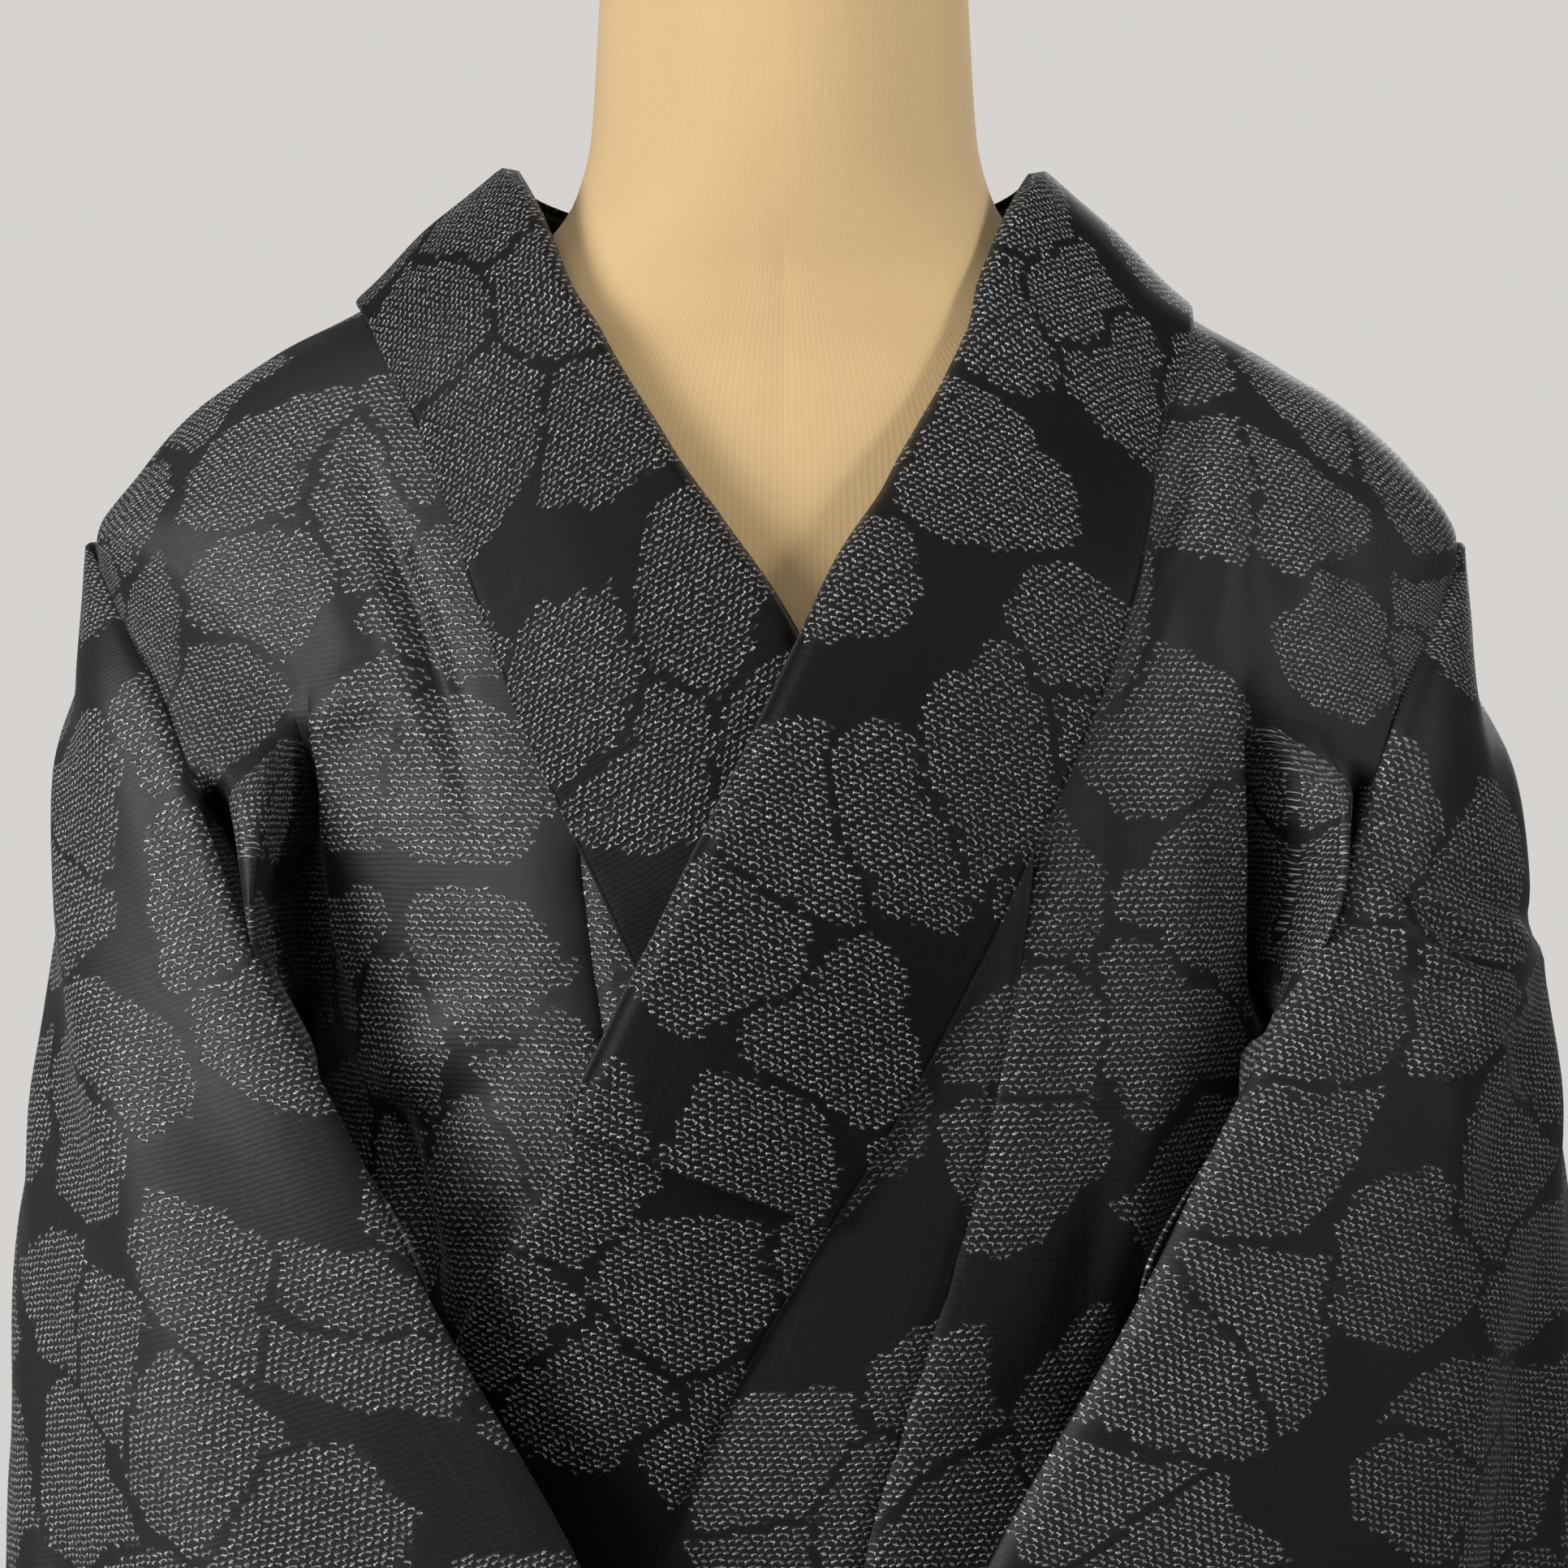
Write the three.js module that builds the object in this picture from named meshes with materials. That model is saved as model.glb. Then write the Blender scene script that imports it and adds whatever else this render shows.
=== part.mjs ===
// A kimono worn closed on a limbless dress form, sleeves drawn forward over the front.
// Millimetres, +Z up, the front faces -Y, +X is the wearer's left.
// Origin: centre of the stand's underside, on the floor.
//
// Every cloth piece is a thin wall laid out on one family of horizontal body
// sections. Layers lie on each other by their offset along the surface normal.
import * as THREE from "three";

// ---------------------------------------------------------------- sizes (mm)
const CLOTH = 1.6; // wall of body panels, overlap gores and sleeves
const COLLAR_WALL = 2.4; // the collar is folded double
const OVER_WALL = 1.4; // over-collar
const LAYER_GAP = 1.3; // clear space between layers that lie on each other
const FRONT_STEP = 9.2; // how far the wearer's left front stands off the right one
const SEAM = 0.8; // clear space between pieces sewn edge to edge
const UNDER_COLLAR = 5; // how far a panel's edge runs in under the collar
const HEM_Z = 28; // hem height over the floor
const SIDE_PHI = 75; // angle of the side seam
const BASE_R = 168,
  BASE_H = 16,
  BASE_CHAMFER = 4,
  POLE_R = 15;
const FORM_BOTTOM = 850,
  NECK_TOP = 1676;

// ------------------------------------------------------------------- tables
const table = (names, rows) =>
  rows.map((r) => Object.fromEntries(names.map((n, i) => [n, r[i]])));

// Horizontal sections of the worn cloth: half-width, depth to the front and to
// the back of the shoulder line, and roundness (2 is an ellipse).
const BODY = table(["z", "half", "front", "back", "n"], [
  [20, 160, 134, 141, 2.05],
  [300, 163, 137, 143, 2.05],
  [600, 166, 138, 145, 2.05],
  [800, 164, 135, 142, 2.05],
  [950, 153, 121, 126, 2.05],
  [1050, 141, 106, 108, 2.05],
  [1105, 137, 101, 100, 2.1],
  [1180, 138, 103, 101, 2.15],
  [1262, 143, 107, 104, 2.2],
  [1308, 148, 109, 106, 2.2],
  [1361, 160, 107, 108, 2.1],
  [1400, 183, 100, 108, 2.0],
  [1446, 204, 88, 107, 2.0],
  [1474, 208, 77, 105, 2.0],
  [1496, 195, 68, 101, 2.0],
  [1509, 183.5, 62, 98, 2.0],
  [1531, 152.5, 56, 92, 2.0],
  [1546, 124, 52, 88, 2.0],
  [1570, 94, 44, 84, 2.0],
  [1600, 62, 32, 80, 2.0],
]);

// The collar on one side, from the shoulder line (q 0) to its end at the gore's
// front edge (q 14). x is measured from the garment's own middle, positive on
// the collar's own side.
const COLLAR = table(["q", "seam_x", "seam_z", "edge_x", "edge_z"], [
  [0, 126, 1545, 78, 1584],
  [1, 115.5, 1521, 69, 1566],
  [2, 103, 1492, 55, 1531],
  [3, 88.5, 1445, 28, 1481],
  [4, 77, 1415, 9, 1451],
  [5, 56, 1372, -12, 1408],
  [6, 43, 1345, -26, 1379],
  [7, 25.5, 1311, -42.5, 1345],
  [8, 3, 1273, -63, 1299],
  [9, -28, 1212, -90, 1244],
  [10, -49, 1150, -110, 1180],
  [11, -66, 1080, -124, 1102],
  [12, -79, 1000, -136, 1013],
  [13, -87, 900, -146, 906],
  [14, -91, 792, -151, 792],
]);
const OVER_END = 7.8; // the over-collar ends here on both sides
const NECK_BACK = { seam_z: 1537, edge_z: 1580 };

// The middle of the collar's crossing wanders a little, and the shoulders sit a
// little to one side of the form's middle.
const MIDDLE = table(["z", "x", "shift"], [
  [20, 0, 0],
  [1000, 0, 0],
  [1200, 3, 0],
  [1343, 5, 0],
  [1437, 6, -1],
  [1474, 6.3, -3],
  [1493, 3.6, -2],
  [1530, 4.2, -4.2],
  [1546, 1.4, -4.4],
  [1600, 1.4, -4.4],
]);

// Seam between the body panel and the overlap gore, from the gore's point down.
const GORE_SEAM = table(["z", "x"], [
  [20, -31],
  [400, -31],
  [790, -28],
  [1000, -12],
  [1180, 16],
  [1295, 47],
  [1347, 57],
  [1386, 63],
]);
const GORE_TOP = 1384;
const GORE_FREE_EDGE = -152; // its free front edge below the collar's end

// Armhole side of the front panel. The cloth runs back beside the bust into a
// hollow (deep_x, deep_y) and comes forward again to its edge (edge_x, edge_y).
const ARMHOLE = table(["z", "bust_phi", "deep_x", "deep_y", "edge_x", "edge_y"], [
  [1105, 60, 135, -36, 137, -26],
  [1180, 58, 145, -8, 128, -74],
  [1262, 58, 149, 0, 92, -126],
  [1308, 60, 152, 0, 117, -114],
  [1361, 57, 158, -6, 148, -92],
  [1400, 50, 166, -18, 166, -76],
  [1426, 50, 173, -27, 177, -62],
  [1446, 55, 182, -33, 190, -47],
  [1462, 66, 193, -25, 200, -28],
  [1476, 84, 203, -8, 208, -2],
]);

// Back panel's armhole edge, as an angle on the body section.
const ARMHOLE_BACK = table(["z", "phi"], [
  [1105, 75],
  [1180, 90],
  [1250, 103],
  [1308, 108],
  [1361, 112],
  [1400, 112],
  [1446, 106],
  [1476, 91],
]);

// Levels of the body panel from the shoulder line down: height at the collar
// or gore seam, at the bust's outer side and at the outer edge.
const LEVELS = table(["inner", "bust", "outer"], [
  [1550, 1494, 1476],
  [1547, 1491, 1471],
  [1538, 1486, 1462],
  [1515, 1474, 1446],
  [1485, 1454, 1424],
  [1446, 1424, 1394],
  [1410, 1392, 1361],
  [1378, 1360, 1330],
  [1330, 1314, 1297],
  [1285, 1266, 1262],
  [1230, 1222, 1220],
  [1170, 1166, 1165],
  [1105, 1105, 1105],
  [1040, 1040, 1040],
  [950, 950, 950],
  [790, 790, 790],
  [560, 560, 560],
  [290, 290, 290],
  [HEM_Z, HEM_Z, HEM_Z],
]);
const LAST_UPPER = 9; // levels above this one fan out over the shoulder
const OPEN_UNTIL = 12; // front and back join at this level and below

// Sleeve, from the shoulder tip (v 0) to the bottom edge (v 1): front inner
// edge, outer fold, back inner edge.
const SLEEVE = table(
  ["v", "ix", "iy", "iz", "right_x", "left_x", "oy", "oz", "jx", "jy", "jz"],
  [
    [0.0, 204, -16, 1469, 209, 210, 1, 1474, 206, 14, 1470],
    [0.07, 191, -44, 1448, 211, 209, 2, 1440, 198, 36, 1445],
    [0.15, 177, -64, 1425, 218, 219, 4, 1398, 178, 47, 1402],
    [0.26, 148, -92, 1361, 222, 231, 8, 1338, 157, 44, 1354],
    [0.36, 117, -115, 1308, 229, 237, 12, 1278, 150, 36, 1302],
    [0.46, 92, -127, 1262, 234, 240, 14, 1215, 151, 28, 1250],
    [0.6, 52, -137, 1195, 236, 241, 12, 1130, 157, -16, 1190],
    [0.74, 26, -143, 1134, 235, 239, 0, 1040, 130, -84, 1134],
    [0.87, 17, -146, 1086, 229, 232, -18, 952, 74, -126, 1088],
    [1.0, 14, -146, 1046, 216, 218, -38, 868, 22, -137, 1047],
  ],
);
// Soft folds that fan out down the sleeve's front layer, as a share of its
// width at the top and at the bottom; depth is negative towards the front.
const SLEEVE_FOLDS = table(["top", "low", "wide", "depth"], [
  [0.45, 0.22, 0.1, -5],
  [0.6, 0.5, 0.09, 6],
  [0.75, 0.72, 0.1, -6],
]);
const CUFF_FROM = 0.58,
  CUFF_TO = 0.86; // open part of the outer edge
const BOTTOM_THICK = 9; // the two layers' distance at the closed bottom

// Largest soft folds: a trough or ridge along a line on the front or back.
// side +1 front, -1 back. depth is negative for a trough.
const FOLDS = table(["side", "x0", "z0", "x1", "z1", "wide", "depth"], [
  [1, -127, 1492, -94, 1416, 11, -4],
  [1, 119, 1506, 106, 1432, 11, -4],
  [1, -100, 1340, -30, 1180, 20, 3],
  [1, 104, 1400, 84, 1190, 16, 3],
  [-1, -120, 1450, -60, 1150, 22, 4],
  [-1, 120, 1450, 66, 1150, 22, 4],
  [-1, -80, 1380, -30, 1080, 16, -3],
  [-1, 78, 1390, 34, 1080, 16, -3],
]);
// Long soft folds of the skirt: angle, half-width in degrees, depth at the hem.
const SKIRT = table(["phi", "wide", "depth"], [
  [-38, 9, 5],
  [-12, 8, -4],
  [16, 9, 5],
  [44, 8, -4],
  [100, 10, 6],
  [128, 9, -5],
  [152, 9, 5],
  [-102, 10, 6],
  [-131, 9, -5],
  [-156, 9, 5],
]);

// The dress form's sections, inside the cloth.
const FORM = table(["z", "half", "front", "back", "mid"], [
  [FORM_BOTTOM, 138, 108, 112, 0],
  [862, 146, 114, 119, 0],
  [950, 141, 107, 112, 0],
  [1050, 126, 93, 94, 0],
  [1105, 120, 88, 87, 0],
  [1180, 122, 89, 88, 0],
  [1262, 130, 93, 92, 0],
  [1308, 135, 95, 95, 0],
  [1361, 143, 93, 97, 0],
  [1400, 150, 87, 97, 0],
  [1446, 160, 75, 96, 0],
  [1474, 164, 66, 94, 0],
  [1496, 160, 59, 90, 0],
  [1509, 150, 55, 86, 0],
  [1531, 122, 51, 77, 2],
  [1546, 98, 51, 70, 4],
  [1562, 78, 53, 62, 8],
  [1580, 65, 55, 58, 11],
  [1600, 60, 56, 57, 12],
  [1640, 57.5, 56, 56, 12],
  [1664, 56, 55, 55, 12],
  [1673, 48, 47, 47, 12],
  [NECK_TOP, 30, 29, 29, 12],
]);

// ------------------------------------------------------------ interpolation
// Smooth, never overshooting curve through a table's column, by a rising key.
function at(tab, col, t, key = "z") {
  const rows = tab[0][key] <= tab[tab.length - 1][key] ? tab : [...tab].reverse();
  const n = rows.length;
  if (t <= rows[0][key]) return rows[0][col];
  if (t >= rows[n - 1][key]) return rows[n - 1][col];
  let i = 0;
  while (t > rows[i + 1][key]) i++;
  const slope = (k) =>
    (rows[k + 1][col] - rows[k][col]) / (rows[k + 1][key] - rows[k][key]);
  const tangent = (k) => {
    if (k === 0) return slope(0);
    if (k === n - 1) return slope(n - 2);
    const a = slope(k - 1),
      b = slope(k);
    return a * b <= 0 ? 0 : (2 * a * b) / (a + b);
  };
  const h = rows[i + 1][key] - rows[i][key],
    u = (t - rows[i][key]) / h,
    m0 = tangent(i) * h,
    m1 = tangent(i + 1) * h;
  return (
    (2 * u ** 3 - 3 * u ** 2 + 1) * rows[i][col] +
    (u ** 3 - 2 * u ** 2 + u) * m0 +
    (3 * u ** 2 - 2 * u ** 3) * rows[i + 1][col] +
    (u ** 3 - u ** 2) * m1
  );
}
const lerp = (a, b, t) => a + (b - a) * t;
const clamp = (x, a, b) => Math.min(b, Math.max(a, x));
const smooth = (a, b, x) => {
  const t = clamp((x - a) / (b - a), 0, 1);
  return t * t * (3 - 2 * t);
};
const RAD = Math.PI / 180;
const V = (x, y, z) => new THREE.Vector3(x, y, z);

// ------------------------------------------------------------- body surface
function foldDepth(x, y, z, phi) {
  let d = 0;
  for (const f of FOLDS) {
    if ((f.side > 0) !== Math.abs(phi) < 90) continue;
    const dx = f.x1 - f.x0,
      dz = f.z1 - f.z0;
    const t = clamp(
      ((x - f.x0) * dx + (z - f.z0) * dz) / (dx * dx + dz * dz), 0, 1);
    const off = Math.hypot(x - f.x0 - t * dx, z - f.z0 - t * dz) / f.wide;
    d += f.depth * Math.exp(-off * off) * Math.sin(Math.PI * clamp(t, 0.12, 0.88));
  }
  const skirt = smooth(1000, 400, z);
  if (skirt > 0)
    for (const s of SKIRT) {
      const off = ((((phi - s.phi + 540) % 360) + 360) % 360 - 180) / s.wide;
      d += skirt * s.depth * Math.exp(-off * off);
    }
  return d;
}
// phi 0 is the middle of the front, 90 the +X side, 180 the middle of the back.
function bare(phi, z) {
  const a = at(BODY, "half", z),
    p = 2 / at(BODY, "n", z),
    s = Math.sin(phi * RAD),
    c = Math.cos(phi * RAD);
  const depth = c > 0 ? at(BODY, "front", z) : at(BODY, "back", z);
  const x = a * Math.sign(s) * Math.abs(s) ** p,
    y = -depth * Math.sign(c) * Math.abs(c) ** p;
  const d = foldDepth(x, y, z, phi);
  return V(x + d * s + at(MIDDLE, "shift", z), y - d * c, z);
}
function surface(phi, z, d = 0) {
  const e = 0.6;
  const p = bare(phi, z);
  const along = bare(phi + e, z).sub(bare(phi - e, z));
  const up = bare(phi, Math.min(z + 3, 1599)).sub(bare(phi, Math.min(z, 1596) - 3));
  const n = along.cross(up).normalize();
  return p.addScaledVector(n, d);
}
// The same with the angle counted towards the piece's own side.
const own = (side, phi, z, d) => surface(side * phi, z, d);
function phiOf(x, z) {
  const a = at(BODY, "half", z),
    n = at(BODY, "n", z);
  return (Math.sign(x) * Math.asin(clamp(Math.abs(x) / a, 0, 1) ** (n / 2))) / RAD;
}
// How far a front layer stands off the section: only the wearer's left front
// (side +1) lies over the other one.
function stand(side, ownPhi, z) {
  if (side < 0) return 0;
  return FRONT_STEP * smooth(1530, 1452, z) * smooth(86, 64, ownPhi);
}

// ---------------------------------------------------------- walls from grids
// points: list of Vector3; faces: lists of 3 or 4 indices. The wall's middle
// surface is the given one.
function wall(name, points, faces, thick, color) {
  const n = points.map(() => V(0, 0, 0));
  const edge = new Map();
  const faceNormal = (f) => {
    const a = points[f[0]],
      b = points[f[1]],
      c = points[f[2]],
      d = points[f[f.length - 1]];
    return f.length === 3
      ? b.clone().sub(a).cross(c.clone().sub(a))
      : c.clone().sub(a).cross(d.clone().sub(b));
  };
  for (const f of faces) {
    const fn = faceNormal(f);
    if (fn.length() > 1e-9) fn.normalize();
    f.forEach((i, k) => {
      n[i].add(fn);
      const j = f[(k + 1) % f.length];
      edge.set(`${i},${j}`, true);
    });
  }
  const pos = [];
  const push = (p, m, s) => pos.push(p.x + m.x * s, p.y + m.y * s, p.z + m.z * s);
  points.forEach((p, i) => push(p, n[i].normalize(), thick / 2));
  points.forEach((p, i) => push(p, n[i], -thick / 2));
  const N = points.length,
    tri = [];
  for (const f of faces) {
    for (let k = 1; k + 1 < f.length; k++) {
      tri.push(f[0], f[k], f[k + 1]);
      tri.push(f[0] + N, f[k + 1] + N, f[k] + N);
    }
  }
  for (const key of edge.keys()) {
    const [i, j] = key.split(",").map(Number);
    if (!edge.has(`${j},${i}`)) tri.push(i, i + N, j + N, i, j + N, j);
  }
  return solid(name, pos, tri, color);
}
function solid(name, pos, tri, color) {
  let vol = 0;
  const P = (i) => V(pos[3 * i], pos[3 * i + 1], pos[3 * i + 2]);
  for (let k = 0; k < tri.length; k += 3)
    vol += P(tri[k]).dot(P(tri[k + 1]).cross(P(tri[k + 2])));
  if (vol < 0)
    for (let k = 0; k < tri.length; k += 3)
      [tri[k + 1], tri[k + 2]] = [tri[k + 2], tri[k + 1]];
  const used = new Map(),
    p2 = [],
    t2 = tri.map((i) => {
      if (!used.has(i)) {
        used.set(i, used.size);
        p2.push(pos[3 * i], pos[3 * i + 1], pos[3 * i + 2]);
      }
      return used.get(i);
    });
  const g = new THREE.BufferGeometry();
  g.setAttribute("position", new THREE.BufferAttribute(new Float32Array(p2), 3));
  g.setIndex(t2);
  g.computeVertexNormals();
  const m = new THREE.Mesh(
    g,
    new THREE.MeshStandardMaterial({
      color,
      roughness: 0.62,
      metalness: 0,
    }),
  );
  m.name = name;
  return m;
}

// --------------------------------------------------------------- body panel
const collarSeam = (side, z) => at(COLLAR, "seam_x", z, "seam_z") + side * at(MIDDLE, "x", z);
const goreSeam = (side, z) => at(GORE_SEAM, "x", z) + side * at(MIDDLE, "x", z);
const ARC = 6,
  FLAP = 4,
  NECK = 5;
function frontPoint(side, k, c) {
  const L = LEVELS[k];
  const mid = -CLOTH / 2;
  if (k === 0) {
    // along the shoulder line
    const z = c <= ARC ? lerp(L.inner, L.bust, c / ARC) : lerp(L.bust, L.outer, (c - ARC) / FLAP);
    return own(side, 90, z, mid);
  }
  const inX =
    L.inner > GORE_TOP
      ? collarSeam(side, L.inner) - UNDER_COLLAR
      : goreSeam(side, L.inner) + SEAM / 2;
  const phiIn = phiOf(inX, L.inner);
  const joined = k >= OPEN_UNTIL;
  const phiB = joined ? 60 : at(ARMHOLE, "bust_phi", L.bust);
  if (c <= ARC || joined) {
    const t = Math.min(c / ARC, 1);
    let phi = lerp(phiIn, phiB, t);
    if (c > ARC) phi = lerp(phiB, SIDE_PHI, (c - ARC) / FLAP);
    const z = lerp(L.inner, L.bust, t);
    return own(side, phi, z, stand(side, phi, z) + mid);
  }
  const B = own(side, phiB, L.bust, stand(side, phiB, L.bust) + mid);
  const A = V(side * at(ARMHOLE, "edge_x", L.outer) + at(MIDDLE, "shift", L.outer), at(ARMHOLE, "edge_y", L.outer), L.outer);
  const D = V(side * at(ARMHOLE, "deep_x", L.outer) + at(MIDDLE, "shift", L.outer), at(ARMHOLE, "deep_y", L.outer), (L.bust + L.outer) / 2);
  const C = D.clone().multiplyScalar(2).addScaledVector(B, -0.5).addScaledVector(A, -0.5);
  const t = (c - ARC) / FLAP;
  return B.multiplyScalar((1 - t) ** 2)
    .addScaledVector(C, 2 * t * (1 - t))
    .addScaledVector(A, t * t);
}
function backPoint(side, k, c) {
  const L = LEVELS[k],
    mid = -CLOTH / 2;
  const n = NECK + ARC + FLAP;
  if (k === 0 && c > NECK) return frontPoint(side, 0, c - NECK);
  const top = (() => {
    if (c <= NECK) return { phi: lerp(180, 90, c / NECK), z: lerp(1545, 1550, c / NECK) };
    const r = LEVELS[0],
      q = c - NECK;
    return { phi: 90, z: q <= ARC ? lerp(r.inner, r.bust, q / ARC) : lerp(r.bust, r.outer, (q - ARC) / FLAP) };
  })();
  const low = LEVELS[LAST_UPPER].outer;
  const share = k >= LAST_UPPER ? 1 : k / LAST_UPPER;
  const z = k >= LAST_UPPER ? L.outer : lerp(top.z, low, (top.z - lerp(top.z, low, share)) / (top.z - low));
  const edgePhi = at(ARMHOLE_BACK, "phi", z);
  const even = lerp(180, edgePhi, c / n);
  const w = 1 - (1 - share) ** 2.2;
  let phi = k >= OPEN_UNTIL ? lerp(180, SIDE_PHI, c / n) : lerp(top.phi, even, w);
  if (c === n) phi = edgePhi;
  if (k >= OPEN_UNTIL && c === n) phi = SIDE_PHI;
  const p = own(side, phi, z, (phi < 90 ? stand(side, phi, z) : 0) + mid);
  if (c === 0) p.x = (side * SEAM) / 2; // centre back seam
  return p;
}
function bodyPanel(name, side, color) {
  const points = [],
    faces = [],
    ids = new Map();
  const nf = ARC + FLAP,
    nb = NECK + ARC + FLAP,
    K = LEVELS.length;
  const id = (part, k, c) => {
    let key = `${part}${k},${c}`;
    if (part === "b" && k === 0 && c >= NECK) key = `f0,${c - NECK}`;
    if (part === "b" && k >= OPEN_UNTIL && c === nb) key = `f${k},${nf}`;
    if (!ids.has(key)) {
      const p = key[0] === "f"
        ? frontPoint(side, ...key.slice(1).split(",").map(Number))
        : backPoint(side, k, c);
      ids.set(key, points.length);
      points.push(p);
    }
    return ids.get(key);
  };
  for (let k = 0; k + 1 < K; k++) {
    for (let c = 0; c < nf; c++)
      faces.push([id("f", k, c), id("f", k, c + 1), id("f", k + 1, c + 1), id("f", k + 1, c)]);
    for (let c = 0; c < nb; c++)
      faces.push([id("b", k, c + 1), id("b", k, c), id("b", k + 1, c), id("b", k + 1, c + 1)]);
  }
  return wall(name, points, faces, CLOTH, color);
}

// -------------------------------------------------------- overlap gore, collar
function gore(name, side, color) {
  const rows = [GORE_TOP, 1347, 1308, 1262, 1220, 1165, 1105, 1040, 950, 880, 800, 780, 560, 290, HEM_Z];
  const COLS = 4;
  const points = [],
    faces = [];
  rows.forEach((z, k) => {
    const outer = goreSeam(side, z) - SEAM / 2;
    const under = collarSeam(side, z) - UNDER_COLLAR;
    const inner = lerp(GORE_FREE_EDGE, under, smooth(790, 870, z));
    for (let c = 0; c <= COLS; c++) {
      const x = lerp(inner, outer - (k === 0 ? 1 : 0), c / COLS);
      const phi = phiOf(x, z);
      points.push(own(side, phi, z, stand(side, phi, z) - CLOTH / 2));
      if (k && c) {
        const a = (k - 1) * (COLS + 1) + c - 1,
          b = k * (COLS + 1) + c - 1;
        faces.push([a, a + 1, b + 1, b]);
      }
    }
  });
  return wall(name, points, faces, CLOTH, color);
}
// q runs 14..0 down one side, then round the back of the neck, then 0..14.
function collarPoint(side, q, w, lift) {
  const pick = (col) => at(COLLAR, col, q, "q");
  const z = lerp(pick("seam_z"), pick("edge_z"), w);
  const x = lerp(pick("seam_x"), pick("edge_x"), w) + side * at(MIDDLE, "x", z);
  const phi = q <= 0 ? 90 : phiOf(x, z);
  return own(side, phi, z, stand(side, phi, z) + lift);
}
function neckPoint(side, t, w, lift) {
  // t 0 at the shoulder line, 1 at the middle of the back
  const seamZ = lerp(at(COLLAR, "seam_z", 0, "q"), NECK_BACK.seam_z, t),
    edgeZ = lerp(at(COLLAR, "edge_z", 0, "q"), NECK_BACK.edge_z, t);
  return own(side, lerp(90, 180, t), lerp(seamZ, edgeZ, w), lift);
}
function band(name, ends, lift, thick, widths, color) {
  const qs = [0, 0.06, 0.2, 0.45, 0.72];
  for (let q = 1; q < ends - 0.3; q += 0.5) qs.push(q);
  qs.push(ends);
  const stations = [];
  for (const q of [...qs].reverse()) stations.push((w) => collarPoint(-1, q, w, lift));
  for (let t = 1; t <= 5; t++) stations.push((w) => neckPoint(-1, t / 6, w, lift));
  for (let t = 6; t >= 1; t--) stations.push((w) => neckPoint(1, t / 6, w, lift));
  for (const q of qs) stations.push((w) => collarPoint(1, q, w, lift));
  const points = [],
    faces = [],
    m = widths.length;
  stations.forEach((f, k) => {
    widths.forEach((w, c) => {
      points.push(f(w));
      if (k && c) {
        const a = (k - 1) * m + c - 1,
          b = k * m + c - 1;
        faces.push([a, a + 1, b + 1, b]);
      }
    });
  });
  return wall(name, points, faces, thick, color);
}

// ------------------------------------------------------------------- sleeve
function sleeve(name, side, color) {
  const ROWS = 14,
    HALF = 9;
  const points = [],
    faces = [],
    cols = 2 * HALF + 1;
  const bez = (a, b, c, d, t) =>
    a * (1 - t) ** 3 + 3 * b * t * (1 - t) ** 2 + 3 * c * t * t * (1 - t) + d * t ** 3;
  const row = (v) => {
    const s = (col) => at(SLEEVE, col, v, "v");
    const I = V(s("ix") + 1.2, s("iy") - lerp(5, 2.6, smooth(0.02, 0.25, v)), s("iz")),
      O = V(s(side > 0 ? "left_x" : "right_x"), s("oy"), s("oz")),
      J = V(s("jx") + 1.6, s("jy") + 1.6, s("jz"));
    const wide = O.x - I.x,
      deep = O.y - I.y,
      back = 8 + 84 * smooth(0, 0.5, v) - 24 * smooth(0.7, 1, v);
    const out = [];
    for (let i = 0; i <= HALF; i++) {
      const t = i / HALF;
      const p = V(
        bez(I.x, I.x + wide * 0.6, O.x, O.x, t),
        bez(I.y, I.y - 6 * v, I.y + deep * 0.38, O.y, t),
        bez(I.z, lerp(I.z, O.z, 0.42), lerp(I.z, O.z, 0.82), O.z, t),
      );
      for (const f of SLEEVE_FOLDS)
        p.y += f.depth * smooth(0.1, 0.6, v) * Math.exp(-(((t - lerp(f.top, f.low, v)) / f.wide) ** 2));
      out.push(p);
    }
    const flat = smooth(0.8, 1, v);
    for (let i = 1; i <= HALF; i++) {
      const t = i / HALF;
      const free = V(
        bez(O.x, O.x, lerp(J.x, O.x, 0.62), J.x, t),
        bez(O.y, O.y + back, J.y + lerp(12, 42, smooth(0.1, 0.45, v)) + 24 * smooth(0.45, 0.75, v), J.y, t),
        bez(O.z, lerp(O.z, J.z, 0.2), lerp(O.z, J.z, 0.6), J.z, t),
      );
      const f = out[HALF - i];
      const shut = V(f.x, f.y + BOTTOM_THICK, f.z + 1);
      out.push(free.lerp(shut, flat));
    }
    return out;
  };
  for (let k = 0; k <= ROWS; k++) {
    const v = k / ROWS;
    for (const p of row(v)) points.push(V(p.x * side + at(MIDDLE, "shift", p.z), p.y, p.z));
    if (!k) continue;
    for (let c = 0; c + 1 < cols; c++) {
      const mid = (k - 0.5) / ROWS;
      if (mid > CUFF_FROM && mid < CUFF_TO && (c === HALF - 1 || c === HALF)) continue;
      const a = (k - 1) * cols + c,
        b = k * cols + c;
      faces.push([a, a + 1, b + 1, b]);
    }
  }
  const last = ROWS * cols;
  for (let c = 0; c < HALF; c++) {
    const q = [last + c, last + c + 1, last + cols - 2 - c, last + cols - 1 - c];
    faces.push(c === HALF - 1 ? [q[0], q[1], q[3]] : q);
  }
  return wall(name, points, faces, CLOTH, color);
}

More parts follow.
